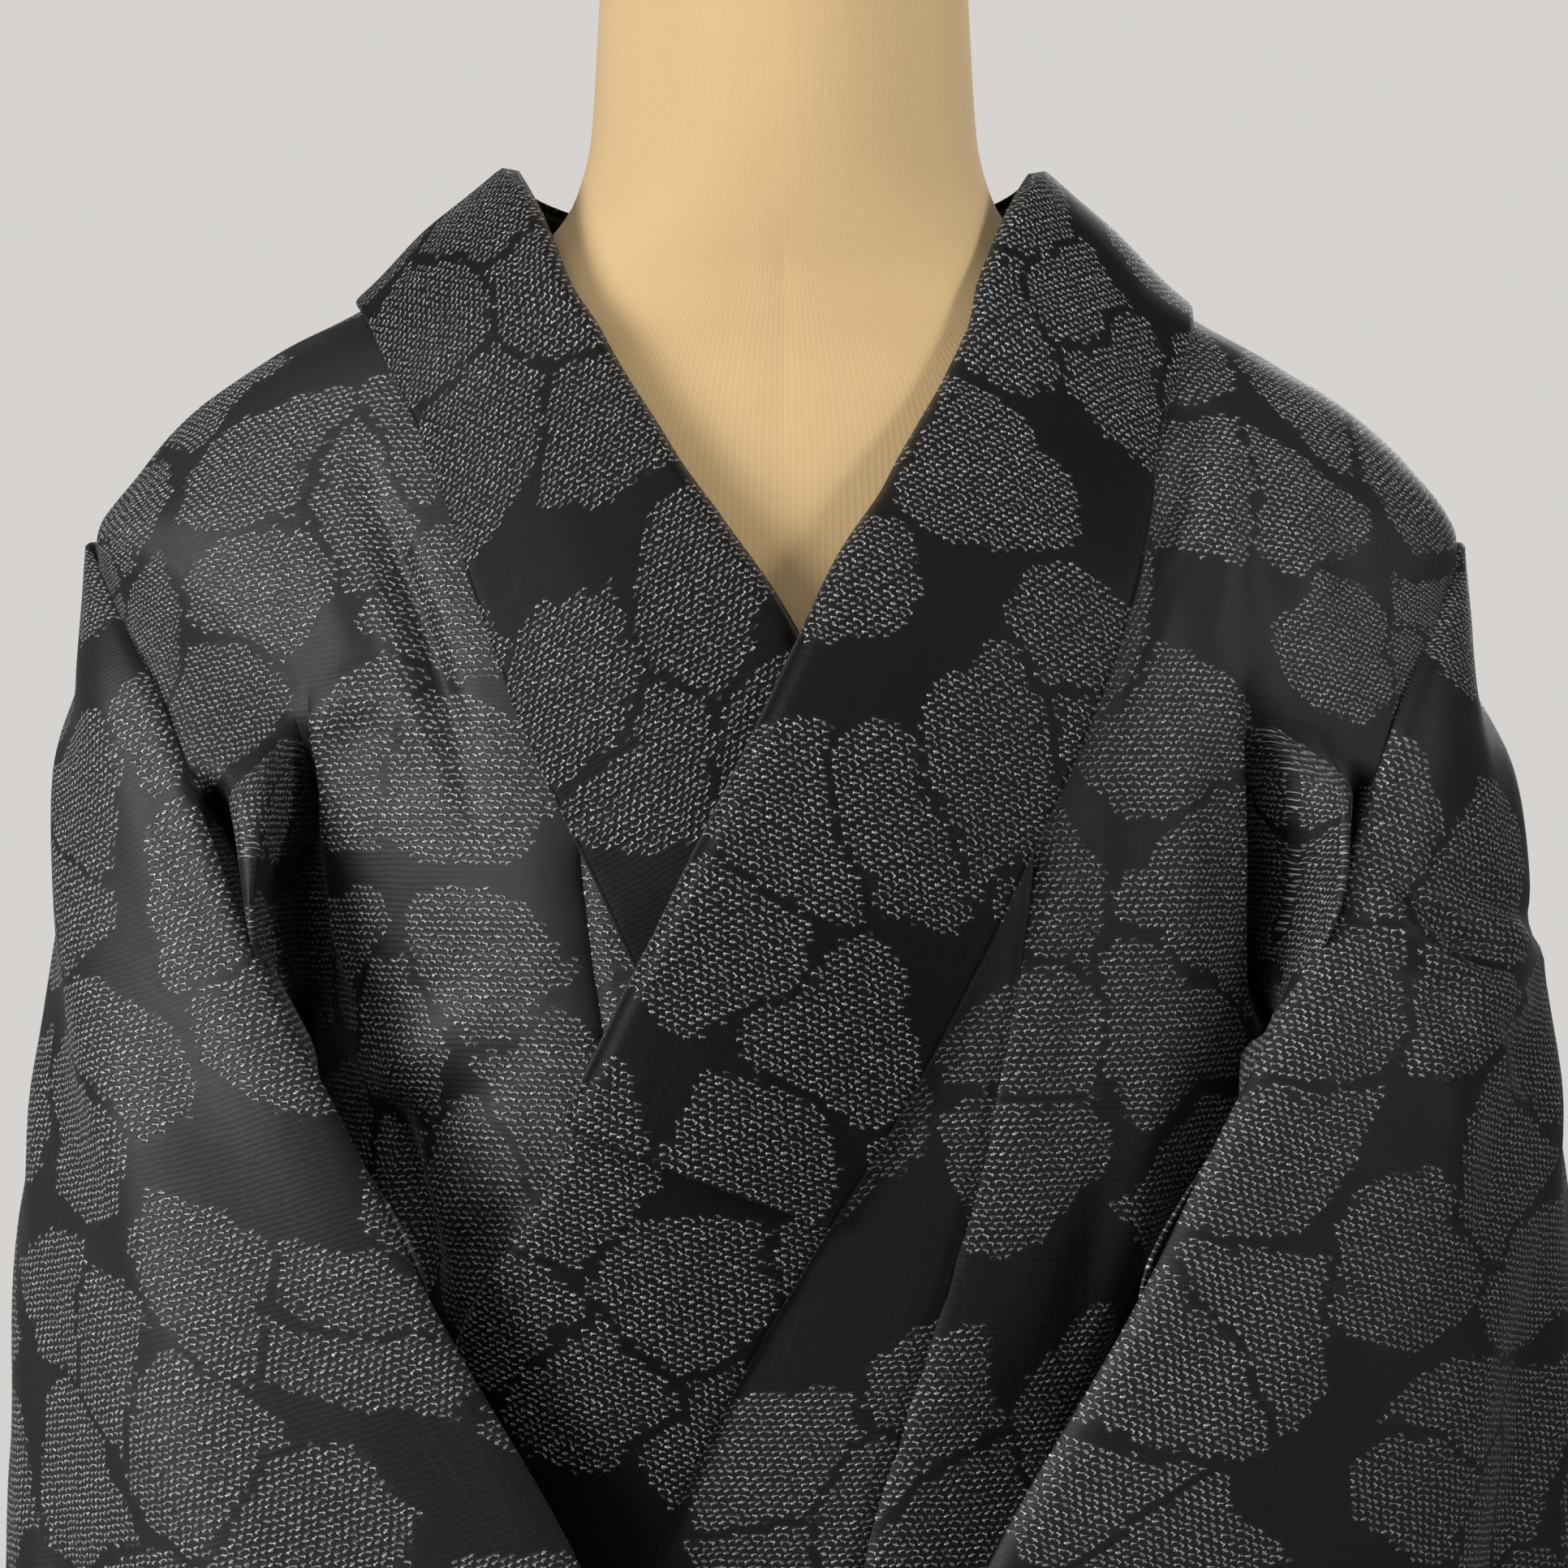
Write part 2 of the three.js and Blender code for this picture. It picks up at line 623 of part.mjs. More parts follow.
// --------------------------------------------------------------- dress form
function formTorso(color) {
  const SIDES = 28,
    pos = [],
    tri = [];
  FORM.forEach((r) => {
    for (let i = 0; i < SIDES; i++) {
      const t = (2 * Math.PI * i) / SIDES,
        c = Math.cos(t),
        s = Math.sin(t);
      const depth = c > 0 ? r.front + r.mid : r.back - r.mid + (r.mid ? 0 : 0);
      pos.push(r.half * s, r.mid - depth * c, r.z);
    }
  });
  for (let k = 0; k + 1 < FORM.length; k++)
    for (let i = 0; i < SIDES; i++) {
      const a = k * SIDES + i,
        b = k * SIDES + ((i + 1) % SIDES),
        c = a + SIDES,
        d = b + SIDES;
      tri.push(a, b, d, a, d, c);
    }
  const caps = (k, flip) => {
    const centre = pos.length / 3;
    pos.push(0, FORM[k].mid, FORM[k].z + (flip ? 2 : 0));
    for (let i = 0; i < SIDES; i++) {
      const a = k * SIDES + i,
        b = k * SIDES + ((i + 1) % SIDES);
      flip ? tri.push(a, b, centre) : tri.push(b, a, centre);
    }
  };
  caps(0, false);
  caps(FORM.length - 1, true);
  return solid("form_torso", pos, tri, color);
}
function turned(name, profile, sides, color) {
  const g = new THREE.LatheGeometry(
    profile.map(([r, z]) => new THREE.Vector2(r, z)),
    sides,
  );
  g.rotateX(Math.PI / 2);
  const m = new THREE.Mesh(
    g,
    new THREE.MeshStandardMaterial({ color, roughness: 0.45, metalness: 0.1 }),
  );
  m.name = name;
  return m;
}

// -------------------------------------------------------------------- model
const NAVY = 0x15171d,
  NAVY_2 = 0x181a21;
const kimono = new THREE.Group();
kimono.name = "kimono_on_form";
kimono.add(
  bodyPanel("body_left", 1, NAVY),
  bodyPanel("body_right", -1, NAVY),
  gore("okumi_left", 1, NAVY_2),
  gore("okumi_right", -1, NAVY_2),
  band("collar", 14, LAYER_GAP + COLLAR_WALL / 2, COLLAR_WALL, [0, 0.33, 0.67, 1], NAVY_2),
  band(
    "over_collar", OVER_END, 2 * LAYER_GAP + COLLAR_WALL + OVER_WALL / 2,
    OVER_WALL, [0.02, 0.34, 0.68, 1.02], NAVY),
  sleeve("sleeve_left", 1, NAVY),
  sleeve("sleeve_right", -1, NAVY),
  formTorso(0xd8bd8a),
  turned("form_pole", [
    [0, BASE_H + 0.3],
    [POLE_R + 9, BASE_H + 0.3],
    [POLE_R + 9, BASE_H + 12],
    [POLE_R, BASE_H + 24],
    [POLE_R, FORM_BOTTOM - 0.4],
    [0, FORM_BOTTOM - 0.4],
  ], 16, 0x9a9a9c),
  turned("form_base", [
    [0, 0],
    [BASE_R, 0],
    [BASE_R, BASE_H - BASE_CHAMFER],
    [BASE_R - BASE_CHAMFER, BASE_H],
    [0, BASE_H],
  ], 48, 0x8a8a8c),
);
export default kimono;
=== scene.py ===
import bpy, math
import numpy as np
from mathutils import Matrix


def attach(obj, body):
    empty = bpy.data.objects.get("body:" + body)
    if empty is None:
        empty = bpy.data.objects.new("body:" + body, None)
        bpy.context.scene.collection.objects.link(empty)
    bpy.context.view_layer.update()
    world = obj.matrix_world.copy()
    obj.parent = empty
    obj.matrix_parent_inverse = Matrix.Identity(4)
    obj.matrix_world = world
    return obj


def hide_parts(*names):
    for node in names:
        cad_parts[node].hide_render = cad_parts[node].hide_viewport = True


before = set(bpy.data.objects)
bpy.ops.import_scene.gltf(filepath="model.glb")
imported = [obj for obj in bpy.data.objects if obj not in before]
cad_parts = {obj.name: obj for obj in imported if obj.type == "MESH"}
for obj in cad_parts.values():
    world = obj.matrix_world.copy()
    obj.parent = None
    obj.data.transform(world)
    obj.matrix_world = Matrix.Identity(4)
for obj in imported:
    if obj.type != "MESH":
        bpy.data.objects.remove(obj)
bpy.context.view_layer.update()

# Lengths below are millimetres in the row's frame; meshes are written in metres.
# The front faces -Y and +X is the wearer's left.
CLOTH = 1.6
SHELL = 1.1            # thickness of the single cloth in the visible model
COLLAR_WALL = 2.6
OVER_WALL = 1.9
LAYER_GAP = 1.3
FRONT_STEP = 9.2
SEAM = 0.4
UNDER_COLLAR = 5
HEM_Z = 28
SIDE_PHI = 75


# ------------------------------------------------------------------- tables
def table(names, rows):
    a = np.array(rows, float)
    if a[0, 0] > a[-1, 0]:
        a = a[::-1]
    return {n: a[:, i].copy() for i, n in enumerate(names.split())} | {"_key": names.split()[0]}


BODY = table("z half front back n", [
    [20, 160, 134, 141, 2.05], [300, 163, 137, 143, 2.05], [600, 166, 138, 145, 2.05],
    [800, 164, 135, 142, 2.05], [950, 153, 121, 126, 2.05], [1050, 141, 106, 108, 2.05],
    [1105, 137, 101, 100, 2.1], [1180, 138, 103, 101, 2.15], [1262, 143, 107, 104, 2.2],
    [1308, 148, 109, 106, 2.2], [1361, 160, 107, 108, 2.1], [1400, 183, 100, 108, 2.0],
    [1446, 204, 88, 107, 2.0], [1474, 208, 77, 105, 2.0], [1496, 195, 68, 101, 2.0],
    [1509, 183.5, 62, 98, 2.0], [1531, 152.5, 56, 92, 2.0], [1546, 124, 52, 88, 2.0],
    [1570, 94, 44, 84, 2.0], [1600, 62, 32, 80, 2.0]])
COLLAR = table("q seam_x seam_z edge_x edge_z", [
    [0, 126, 1545, 78, 1584], [1, 115.5, 1521, 69, 1566], [2, 103, 1492, 55, 1531],
    [3, 88.5, 1445, 28, 1481], [4, 77, 1415, 9, 1451], [5, 56, 1372, -12, 1408],
    [6, 43, 1345, -26, 1379], [7, 25.5, 1311, -42.5, 1345], [8, 3, 1273, -63, 1299],
    [9, -28, 1212, -90, 1244], [10, -49, 1150, -110, 1180], [11, -66, 1080, -124, 1102],
    [12, -79, 1000, -136, 1013], [13, -87, 900, -146, 906], [14, -91, 792, -151, 792]])
COLLAR_Z = table("z x", list(zip(COLLAR["seam_z"], COLLAR["seam_x"])))
OVER_END = 7.8
MIDDLE = table("z x shift", [
    [20, 0, 0], [1000, 0, 0], [1200, 3, 0], [1343, 5, 0], [1437, 6, -1],
    [1474, 6.3, -3], [1493, 3.6, -2], [1530, 4.2, -4.2], [1546, 1.4, -4.4], [1600, 1.4, -4.4]])
GORE_SEAM = table("z x", [
    [20, -31], [400, -31], [790, -28], [1000, -12], [1180, 16], [1295, 47], [1347, 57], [1386, 63]])
GORE_TOP, GORE_FREE_EDGE = 1384, -152
ARMHOLE = table("z bust_phi deep_x deep_y edge_x edge_y", [
    [1105, 60, 135, -36, 137, -26], [1180, 58, 145, -8, 128, -74], [1262, 58, 149, 0, 92, -126],
    [1308, 60, 152, 0, 117, -114], [1361, 57, 158, -6, 148, -92], [1400, 50, 166, -18, 166, -76],
    [1426, 50, 173, -27, 177, -62], [1446, 55, 182, -33, 190, -47], [1462, 66, 193, -25, 200, -28],
    [1476, 84, 203, -8, 208, -2]])
ARMHOLE_BACK = table("z phi", [
    [1105, 75], [1180, 90], [1250, 103], [1308, 108], [1361, 112], [1400, 112], [1446, 106], [1476, 91]])
LEVELS = table("k inner bust outer", [[i, *r] for i, r in enumerate([
    [1550, 1494, 1476], [1547, 1491, 1471], [1538, 1486, 1462], [1515, 1474, 1446],
    [1485, 1454, 1424], [1446, 1424, 1394], [1410, 1392, 1361], [1378, 1360, 1330],
    [1330, 1314, 1297], [1285, 1266, 1262], [1230, 1222, 1220], [1170, 1166, 1165],
    [1105, 1105, 1105], [1040, 1040, 1040], [950, 950, 950], [790, 790, 790],
    [560, 560, 560], [290, 290, 290], [HEM_Z, HEM_Z, HEM_Z]])])
LAST_UPPER, OPEN_UNTIL, LAST = 9, 12, 18
SLEEVE = table("v ix iy iz right_x left_x oy oz jx jy jz", [
    [0.0, 204, -16, 1469, 209, 210, 1, 1474, 206, 14, 1470],
    [0.07, 191, -44, 1448, 211, 209, 2, 1440, 198, 36, 1445],
    [0.15, 177, -64, 1425, 218, 219, 4, 1398, 178, 47, 1402],
    [0.26, 148, -92, 1361, 222, 231, 8, 1338, 157, 44, 1354],
    [0.36, 117, -115, 1308, 229, 237, 12, 1278, 150, 36, 1302],
    [0.46, 92, -127, 1262, 234, 240, 14, 1215, 151, 28, 1250],
    [0.6, 52, -137, 1195, 236, 241, 12, 1130, 157, -16, 1190],
    [0.74, 26, -143, 1134, 235, 239, 0, 1040, 130, -84, 1134],
    [0.87, 17, -146, 1086, 229, 232, -18, 952, 74, -126, 1088],
    [1.0, 14, -146, 1046, 216, 218, -38, 868, 22, -137, 1047]])
SLEEVE_FOLDS = [[0.45, 0.22, 0.1, -5], [0.6, 0.5, 0.09, 6], [0.75, 0.72, 0.1, -6]]
CUFF_FROM, CUFF_TO = 0.58, 0.86
BOTTOM_THICK = 9
SKIRT = [[-38, 9, 5], [-12, 8, -4], [16, 9, 5], [44, 8, -4], [100, 10, 6],
         [128, 9, -5], [152, 9, 5], [-102, 10, 6], [-131, 9, -5], [-156, 9, 5]]
FORM = table("z half front back mid", [
    [850, 138, 108, 112, 0], [862, 146, 114, 119, 0], [950, 141, 107, 112, 0],
    [1050, 126, 93, 94, 0], [1105, 120, 88, 87, 0], [1180, 122, 89, 88, 0],
    [1262, 130, 93, 92, 0], [1308, 135, 95, 95, 0], [1361, 143, 93, 97, 0],
    [1400, 150, 87, 97, 0], [1446, 160, 75, 96, 0], [1474, 164, 66, 94, 0],
    [1496, 160, 59, 90, 0], [1509, 150, 55, 86, 0], [1531, 122, 51, 77, 2],
    [1546, 98, 51, 70, 4], [1562, 78, 53, 62, 8], [1580, 65, 55, 58, 11],
    [1600, 60, 56, 57, 12], [1640, 57.5, 56, 56, 12], [1664, 56, 55, 55, 12],
    [1673, 48, 47, 47, 12], [1676, 30, 29, 29, 12]])

# Folds laid on the front and back: a path of (x, z) points, half-width and
# depth (negative is a trough). All layers of cloth share them.
FOLDS = [
    # the coarse ones of the solid model
    (1, [(-127, 1492), (-94, 1416)], 11, -3.4),
    (1, [(119, 1506), (106, 1432)], 11, -3.4),
    (1, [(-100, 1340), (-30, 1180)], 20, 3),
    (1, [(104, 1400), (84, 1190)], 16, 3),
    (-1, [(-120, 1450), (-60, 1150)], 22, 4),
    (-1, [(120, 1450), (66, 1150)], 22, 4),
    (-1, [(-80, 1380), (-30, 1080)], 16, -3),
    (-1, [(78, 1390), (34, 1080)], 16, -3),
]


# ------------------------------------------------------------ interpolation
def at(tab, col, t):
    K, C = tab[tab["_key"]], tab[col]
    t = np.clip(np.asarray(t, float), K[0], K[-1])
    n = len(K)
    i = np.clip(np.searchsorted(K, t, side="left") - 1, 0, n - 2)
    h = np.diff(K)
    s = np.diff(C) / h
    m = np.zeros(n)
    m[0], m[-1] = s[0], s[-1]
    a, b = s[:-1], s[1:]
    den = np.where(a * b > 0, a + b, 1)
    m[1:-1] = np.where(a * b > 0, 2 * a * b / den, 0)
    u = (t - K[i]) / h[i]
    return ((2 * u**3 - 3 * u**2 + 1) * C[i] + (u**3 - 2 * u**2 + u) * m[i] * h[i]
            + (3 * u**2 - 2 * u**3) * C[i + 1] + (u**3 - u**2) * m[i + 1] * h[i])


def lerp(a, b, t):
    return a + (b - a) * t


def smooth(a, b, x):
    t = np.clip((np.asarray(x, float) - a) / (b - a), 0, 1)
    return t * t * (3 - 2 * t)


def bell(x, c, w):
    return np.exp(-(((x - c) / w) ** 2))


_lattice = np.random.RandomState(7).rand(8, 64, 64) * 2 - 1


def noise(x, y, seed=0):
    """Smooth value noise of period 64 cells, about -1..1."""
    L = _lattice[seed % 8]
    x = np.asarray(x, float) + 17.3 * seed
    y = np.asarray(y, float) + 5.1 * seed
    i, j = np.floor(x).astype(int), np.floor(y).astype(int)
    u, v = x - i, y - j
    u, v = u * u * u * (u * (u * 6 - 15) + 10), v * v * v * (v * (v * 6 - 15) + 10)
    g = lambda a, b: L[a % 64, b % 64]
    return lerp(lerp(g(i, j), g(i + 1, j), u), lerp(g(i, j + 1), g(i + 1, j + 1), u), v)


def along_path(x, z, path):
    """Signed distance to a path of points and the share of its length."""
    P = np.array(path, float)
    seg = np.diff(P, axis=0)
    L = np.hypot(seg[:, 0], seg[:, 1])
    total, run = L.sum(), 0.0
    best = np.full(np.shape(x), 1e9)
    sign = np.ones(np.shape(x))
    share = np.zeros(np.shape(x))
    for k in range(len(seg)):
        dx, dz = seg[k]
        t = np.clip(((x - P[k, 0]) * dx + (z - P[k, 1]) * dz) / (L[k] ** 2), 0, 1)
        ox, oz = x - P[k, 0] - t * dx, z - P[k, 1] - t * dz
        d = np.hypot(ox, oz)
        near = d < best
        best = np.where(near, d, best)
        sign = np.where(near, np.sign(ox * dz - oz * dx), sign)
        share = np.where(near, (run + t * L[k]) / total, share)
        run += L[k]
    return best, sign, share


def fold(x, z, path, wide, depth, lip=0.0):
    """A soft trough or ridge along a path. lip raises the cloth on one side of it
    (positive: right of the path's direction), as beside a real crease."""
    d, s, t = along_path(x, z, path)
    fade = np.sin(np.pi * np.clip(t, 0.1, 0.9)) ** 0.8
    f = depth * np.exp(-((d / wide) ** 2)) * fade
    if lip:
        f = f + abs(lip) * np.exp(-(((d - 1.5 * wide) / (1.1 * wide)) ** 2)) * fade * (s == np.sign(lip))
    return f


# ------------------------------------------------------------- body surface
RAD = math.pi / 180


def fold_depth(x, y, z, phi):
    d = np.zeros(np.shape(x))
    front = np.abs(phi) < 90
    for side, path, wide, depth, *lip in FOLDS:
        d += np.where(front == (side > 0), fold(x, z, path, wide, depth, *(lip or [0])), 0)
    skirt = smooth(1000, 400, z)
    for p, wide, depth in SKIRT:
        off = ((phi - p + 540) % 360 - 180) / wide
        d += skirt * depth * np.exp(-off * off)
    return d


def bare(phi, z):
    a, p = at(BODY, "half", z), 2 / at(BODY, "n", z)
    s, c = np.sin(phi * RAD), np.cos(phi * RAD)
    depth = np.where(c > 0, at(BODY, "front", z), at(BODY, "back", z))
    x = a * np.sign(s) * np.abs(s) ** p
    y = -depth * np.sign(c) * np.abs(c) ** p
    d = fold_depth(x, y, z, phi)
    return np.stack([x + d * s + at(MIDDLE, "shift", z), y - d * c, z + 0 * x], -1)


def unit(v):
    return v / np.maximum(np.linalg.norm(v, axis=-1, keepdims=True), 1e-12)


def surface(phi, z, d=0.0):
    phi, z, d = np.broadcast_arrays(np.asarray(phi, float), np.asarray(z, float), np.asarray(d, float))
    e = 0.6
    p = bare(phi, z)
    along = bare(phi + e, z) - bare(phi - e, z)
    up = bare(phi, np.minimum(z + 3, 1599)) - bare(phi, np.minimum(z, 1596) - 3)
    return p + unit(np.cross(along, up)) * d[..., None]


def own(side, phi, z, d):
    return surface(side * phi, z, d)


def phi_of(x, z):
    a, n = at(BODY, "half", z), at(BODY, "n", z)
    return np.sign(x) * np.arcsin(np.clip(np.abs(x) / a, 0, 1) ** (n / 2)) / RAD


def stand(side, own_phi, z):
    if side < 0:
        return 0 * np.asarray(own_phi, float)
    return FRONT_STEP * smooth(1530, 1452, z) * smooth(86, 64, own_phi)


def collar_seam(side, z):
    return at(COLLAR_Z, "x", z) + side * at(MIDDLE, "x", z)


def gore_seam(side, z):
    return at(GORE_SEAM, "x", z) + side * at(MIDDLE, "x", z)


# --------------------------------------------------------------- mesh making
def grid_normals(P, flip=False):
    a = np.gradient(P, axis=1)
    b = np.gradient(P, axis=0)
    n = unit(np.cross(a, b))
    return -n if flip else n


def arc(P, axis):
    d = np.linalg.norm(np.diff(P, axis=axis), axis=-1)
    z = np.zeros_like(np.take(d, [0], axis=axis))
    return np.concatenate([z, np.cumsum(d, axis=axis)], axis=axis)


def quads(rows, cols, keep=None):
    r, c = np.meshgrid(np.arange(rows - 1), np.arange(cols - 1), indexing="ij")
    q = np.stack([r * cols + c, r * cols + c + 1, (r + 1) * cols + c + 1, (r + 1) * cols + c], -1)
    if keep is not None:
        q = q[keep]
    return q.reshape(-1, 4)


def point_normals(P, Q):
    a, b, c, d = (P[Q[:, i]] for i in range(4))
    fn = np.cross(c - a, d - b)
    N = np.zeros_like(P)
    for i in range(4):
        np.add.at(N, Q[:, i], fn)
    return unit(N)


def make_mesh(name, V, faces, mats, attrs, face_mat=None, smooth_shade=True):
    """V in mm, faces a list of index arrays (quads or triangles)."""
    me = bpy.data.meshes.new(name)
    loops = np.concatenate([f.reshape(-1) for f in faces]).astype(np.int32)
    sizes = np.concatenate([np.full(len(f), f.shape[1]) for f in faces]).astype(np.int32)
    me.vertices.add(len(V))
    me.vertices.foreach_set("co", (V / 1000.0).astype(np.float32).reshape(-1))
    me.loops.add(len(loops))
    me.loops.foreach_set("vertex_index", loops)
    me.polygons.add(len(sizes))
    me.polygons.foreach_set("loop_start", np.concatenate([[0], np.cumsum(sizes)[:-1]]).astype(np.int32))
    me.polygons.foreach_set("loop_total", sizes)
    if face_mat is not None:
        me.polygons.foreach_set("material_index", face_mat.astype(np.int32))
    me.update(calc_edges=True)
    me.polygons.foreach_set("use_smooth", np.full(len(sizes), smooth_shade))
    for an, av in attrs.items():
        at_ = me.attributes.new(an, "FLOAT_VECTOR", "POINT")
        at_.data.foreach_set("vector", av.astype(np.float32).reshape(-1))
    for m in mats:
        me.materials.append(m)
    me.validate()
    o = bpy.data.objects.new(name, me)
    bpy.context.scene.collection.objects.link(o)
    return o


def shell(name, P, Q, thick, uv, mats, inner_mat=None):
    """A closed thin cloth on the middle surface P, with rounded edges. Faces in Q
    are counter-clockwise seen from outside. uv: cloth coordinates in metres."""
    used = np.unique(Q)
    back = np.full(len(P), -1)
    back[used] = np.arange(len(used))
    P, uv, Q = P[used], uv[used], back[Q]
    N = point_normals(P, Q)
    n = len(P)
    e = np.concatenate([Q[:, [i, (i + 1) % 4]] for i in range(4)])
    code = e[:, 0].astype(np.int64) * n + e[:, 1]
    rev = e[:, 1].astype(np.int64) * n + e[:, 0]
    edge = e[~np.isin(code, rev)]
    # outward direction along the open edges
    t = P[edge[:, 1]] - P[edge[:, 0]]
    nn = N[edge[:, 0]] + N[edge[:, 1]]
    out = unit(np.cross(unit(t), unit(nn)))
    O = np.zeros_like(P)
    np.add.at(O, edge[:, 0], out)
    np.add.at(O, edge[:, 1], out)
    rim = np.unique(edge)
    O = unit(O[rim])
    h = thick / 2
    top, bot = P + N * h, P - N * h
    mid = P[rim] + O * h
    pos = np.concatenate([top, bot, mid])
    ridx = np.full(n, -1)
    ridx[rim] = 2 * n + np.arange(len(rim))
    i, j = edge[:, 0], edge[:, 1]
    F1 = Q
    F2 = Q[:, ::-1] + n
    F3 = np.stack([j, i, ridx[i], ridx[j]], -1)
    F4 = np.stack([ridx[j], ridx[i], i + n, j + n], -1)
    uv3 = np.concatenate([uv, uv, uv[rim]])
    face = np.concatenate([F1, F2, F3, F4])
    return make_mesh(name, pos, [face], mats, {"cloth": uv3})


def oriented(P, Q, centre):
    """Flip the faces if they look towards the centre line."""
    a, b, c, d = (P[Q[:, i]] for i in range(4))
    fn = np.cross(c - a, d - b)
    mid = (a + b + c + d) / 4 - centre
    return Q if (fn * mid).sum() > 0 else Q[:, ::-1]


# ---------------------------------------------- lengths along the body's cloth
_XS = np.linspace(0, 206, 104)
_ZS = np.linspace(1600, 0, 801)


def _paths(front):
    a, n = at(BODY, "half", _ZS), at(BODY, "n", _ZS)
    dep = at(BODY, "front" if front else "back", _ZS)
    out = np.zeros((len(_XS), len(_ZS)))
    for i, x in enumerate(_XS):
        r = np.clip(x / a, 0, 1)
        y = dep * (1 - r ** n) ** (1 / n)
        inside = x < a
        step = np.hypot(np.diff(_ZS), np.diff(y))
        top = np.argmax(inside) if inside.any() else 0
        step[:max(top - 1, 0)] = 0
        out[i, 1:] = np.cumsum(step)
    return out


_PATH = {1: _paths(True), -1: _paths(False)}
_TOPZ = np.array([_ZS[np.argmax(at(BODY, "half", _ZS) > x)] for x in _XS])


def lookup(tab, x, z):
    i = np.clip(x / (_XS[1] - _XS[0]), 0, len(_XS) - 1.001)
    j = np.clip((_ZS[0] - z) / (_ZS[0] - _ZS[1]), 0, len(_ZS) - 1.001)
    i0, j0 = i.astype(int), j.astype(int)
    u, v = i - i0, j - j0
    return lerp(lerp(tab[i0, j0], tab[i0 + 1, j0], u), lerp(tab[i0, j0 + 1], tab[i0 + 1, j0 + 1], u), v)


def down_length(ax, z, sign):
    """Length along the warp: the rows of weft hang level on the front, and follow
    the shoulder's slope where the cloth goes over it."""
    x = np.clip(ax, 115, 0.985 * np.maximum(at(BODY, "half", z), 118))
    x = np.minimum(x, 205)
    path = lookup(_PATH[sign], x, z)
    level_ = lookup(_PATH[sign], 115 + 0 * x, z)
    start = 0.6 * (np.interp(115, _XS, _TOPZ) - np.interp(x, _XS, _TOPZ))
    own_ = start + sign * path
    flat = sign * level_
    b = smooth(0, 260, path) if sign > 0 else smooth(0, 1100, path)
    return lerp(own_, flat, b)


# --------------------------------------------------------------- body panel
ARC, FLAP, NECK = 6, 4, 5


def level(col, k):
    return at(LEVELS, col, k)


# Where the cloth between the bust and the armhole tucks in, per side, by height:
# b the bust's edge, g the tuck's bottom, r the ridge beside it, t the ridge next
# the armhole seam, d and e the depths of the tuck and of the gap beside the seam.
TUCKS = {
    -1: table("z b g d r t e", [
        [1476, 192, 197, 0, 200, 204, 0], [1462, 168, 178, 0, 186, 196, 0], [1446, 146, 156, 0, 166, 182, 0],
        [1434, 136, 144, 0, 154, 170, 0], [1424, 132, 139, 2, 147.5, 164, 0], [1410, 131, 138, 14, 146, 160, 3],
        [1396, 131, 138, 34, 146, 156, 18], [1380, 131, 138, 52, 146, 152.5, 26],
        [1361, 130.5, 138, 62, 145, 149, 16], [1348, 127, 136, 62, 142, 145.5, 8],
        [1334, 122, 132, 60, 136, 137, 6], [1318, 122, 128, 55, 130, 131, 4],
        [1296, 117, 122, 40, 124, 125, 2], [1262, 118, 119, 30, 120, 121, 0], [1105, 118, 119, 10, 120, 121, 0]]),
    1: table("z b g d r t e", [
        [1476, 192, 197, 0, 200, 204, 0], [1462, 168, 178, 0, 186, 196, 0], [1446, 144, 156, 0, 168, 182, 0],
        [1434, 130, 140, 0, 160, 172, 0], [1426, 125.5, 134, 3, 157.5, 166, 0], [1414, 124.5, 132, 12, 156.5, 162, 3],
        [1400, 124.5, 131, 20, 156, 160, 16], [1385, 124.5, 131, 28, 155.5, 158, 26],
        [1370, 124.5, 132, 40, 153, 155, 20], [1355, 124.5, 132, 52, 147, 149, 8],
        [1344, 124.5, 132, 58, 143, 144, 6], [1330, 127, 130, 58, 134, 135, 5], [1318, 124, 127, 50, 128, 129, 4],
        [1296, 118, 121, 40, 122, 123, 2],
        [1262, 118, 119, 30, 120, 121, 0], [1105, 118, 119, 10, 120, 121, 0]]),
}


def spline(points, t):
    """Clamped cubic B-spline through the ends of the points, at t in 0..1."""
    n, k = len(points), 3
    knots = np.concatenate([np.zeros(k), np.linspace(0, 1, n - k + 1), np.ones(k)])
    tt = np.clip(t, 0, 1 - 1e-9)
    basis = [((knots[i] <= tt) & (tt < knots[i + 1])).astype(float) for i in range(len(knots) - 1)]
    for p in range(1, k + 1):
        nxt = []
        for i in range(len(knots) - 1 - p):
            w1 = knots[i + p] - knots[i]
            w2 = knots[i + p + 1] - knots[i + 1]
            v = 0
            if w1 > 0:
                v = v + (tt - knots[i]) / w1 * basis[i]
            if w2 > 0:
                v = v + (knots[i + p + 1] - tt) / w2 * basis[i + 1]
            nxt.append(v)
        basis = nxt
    return sum(basis[i][..., None] * points[i] for i in range(n))


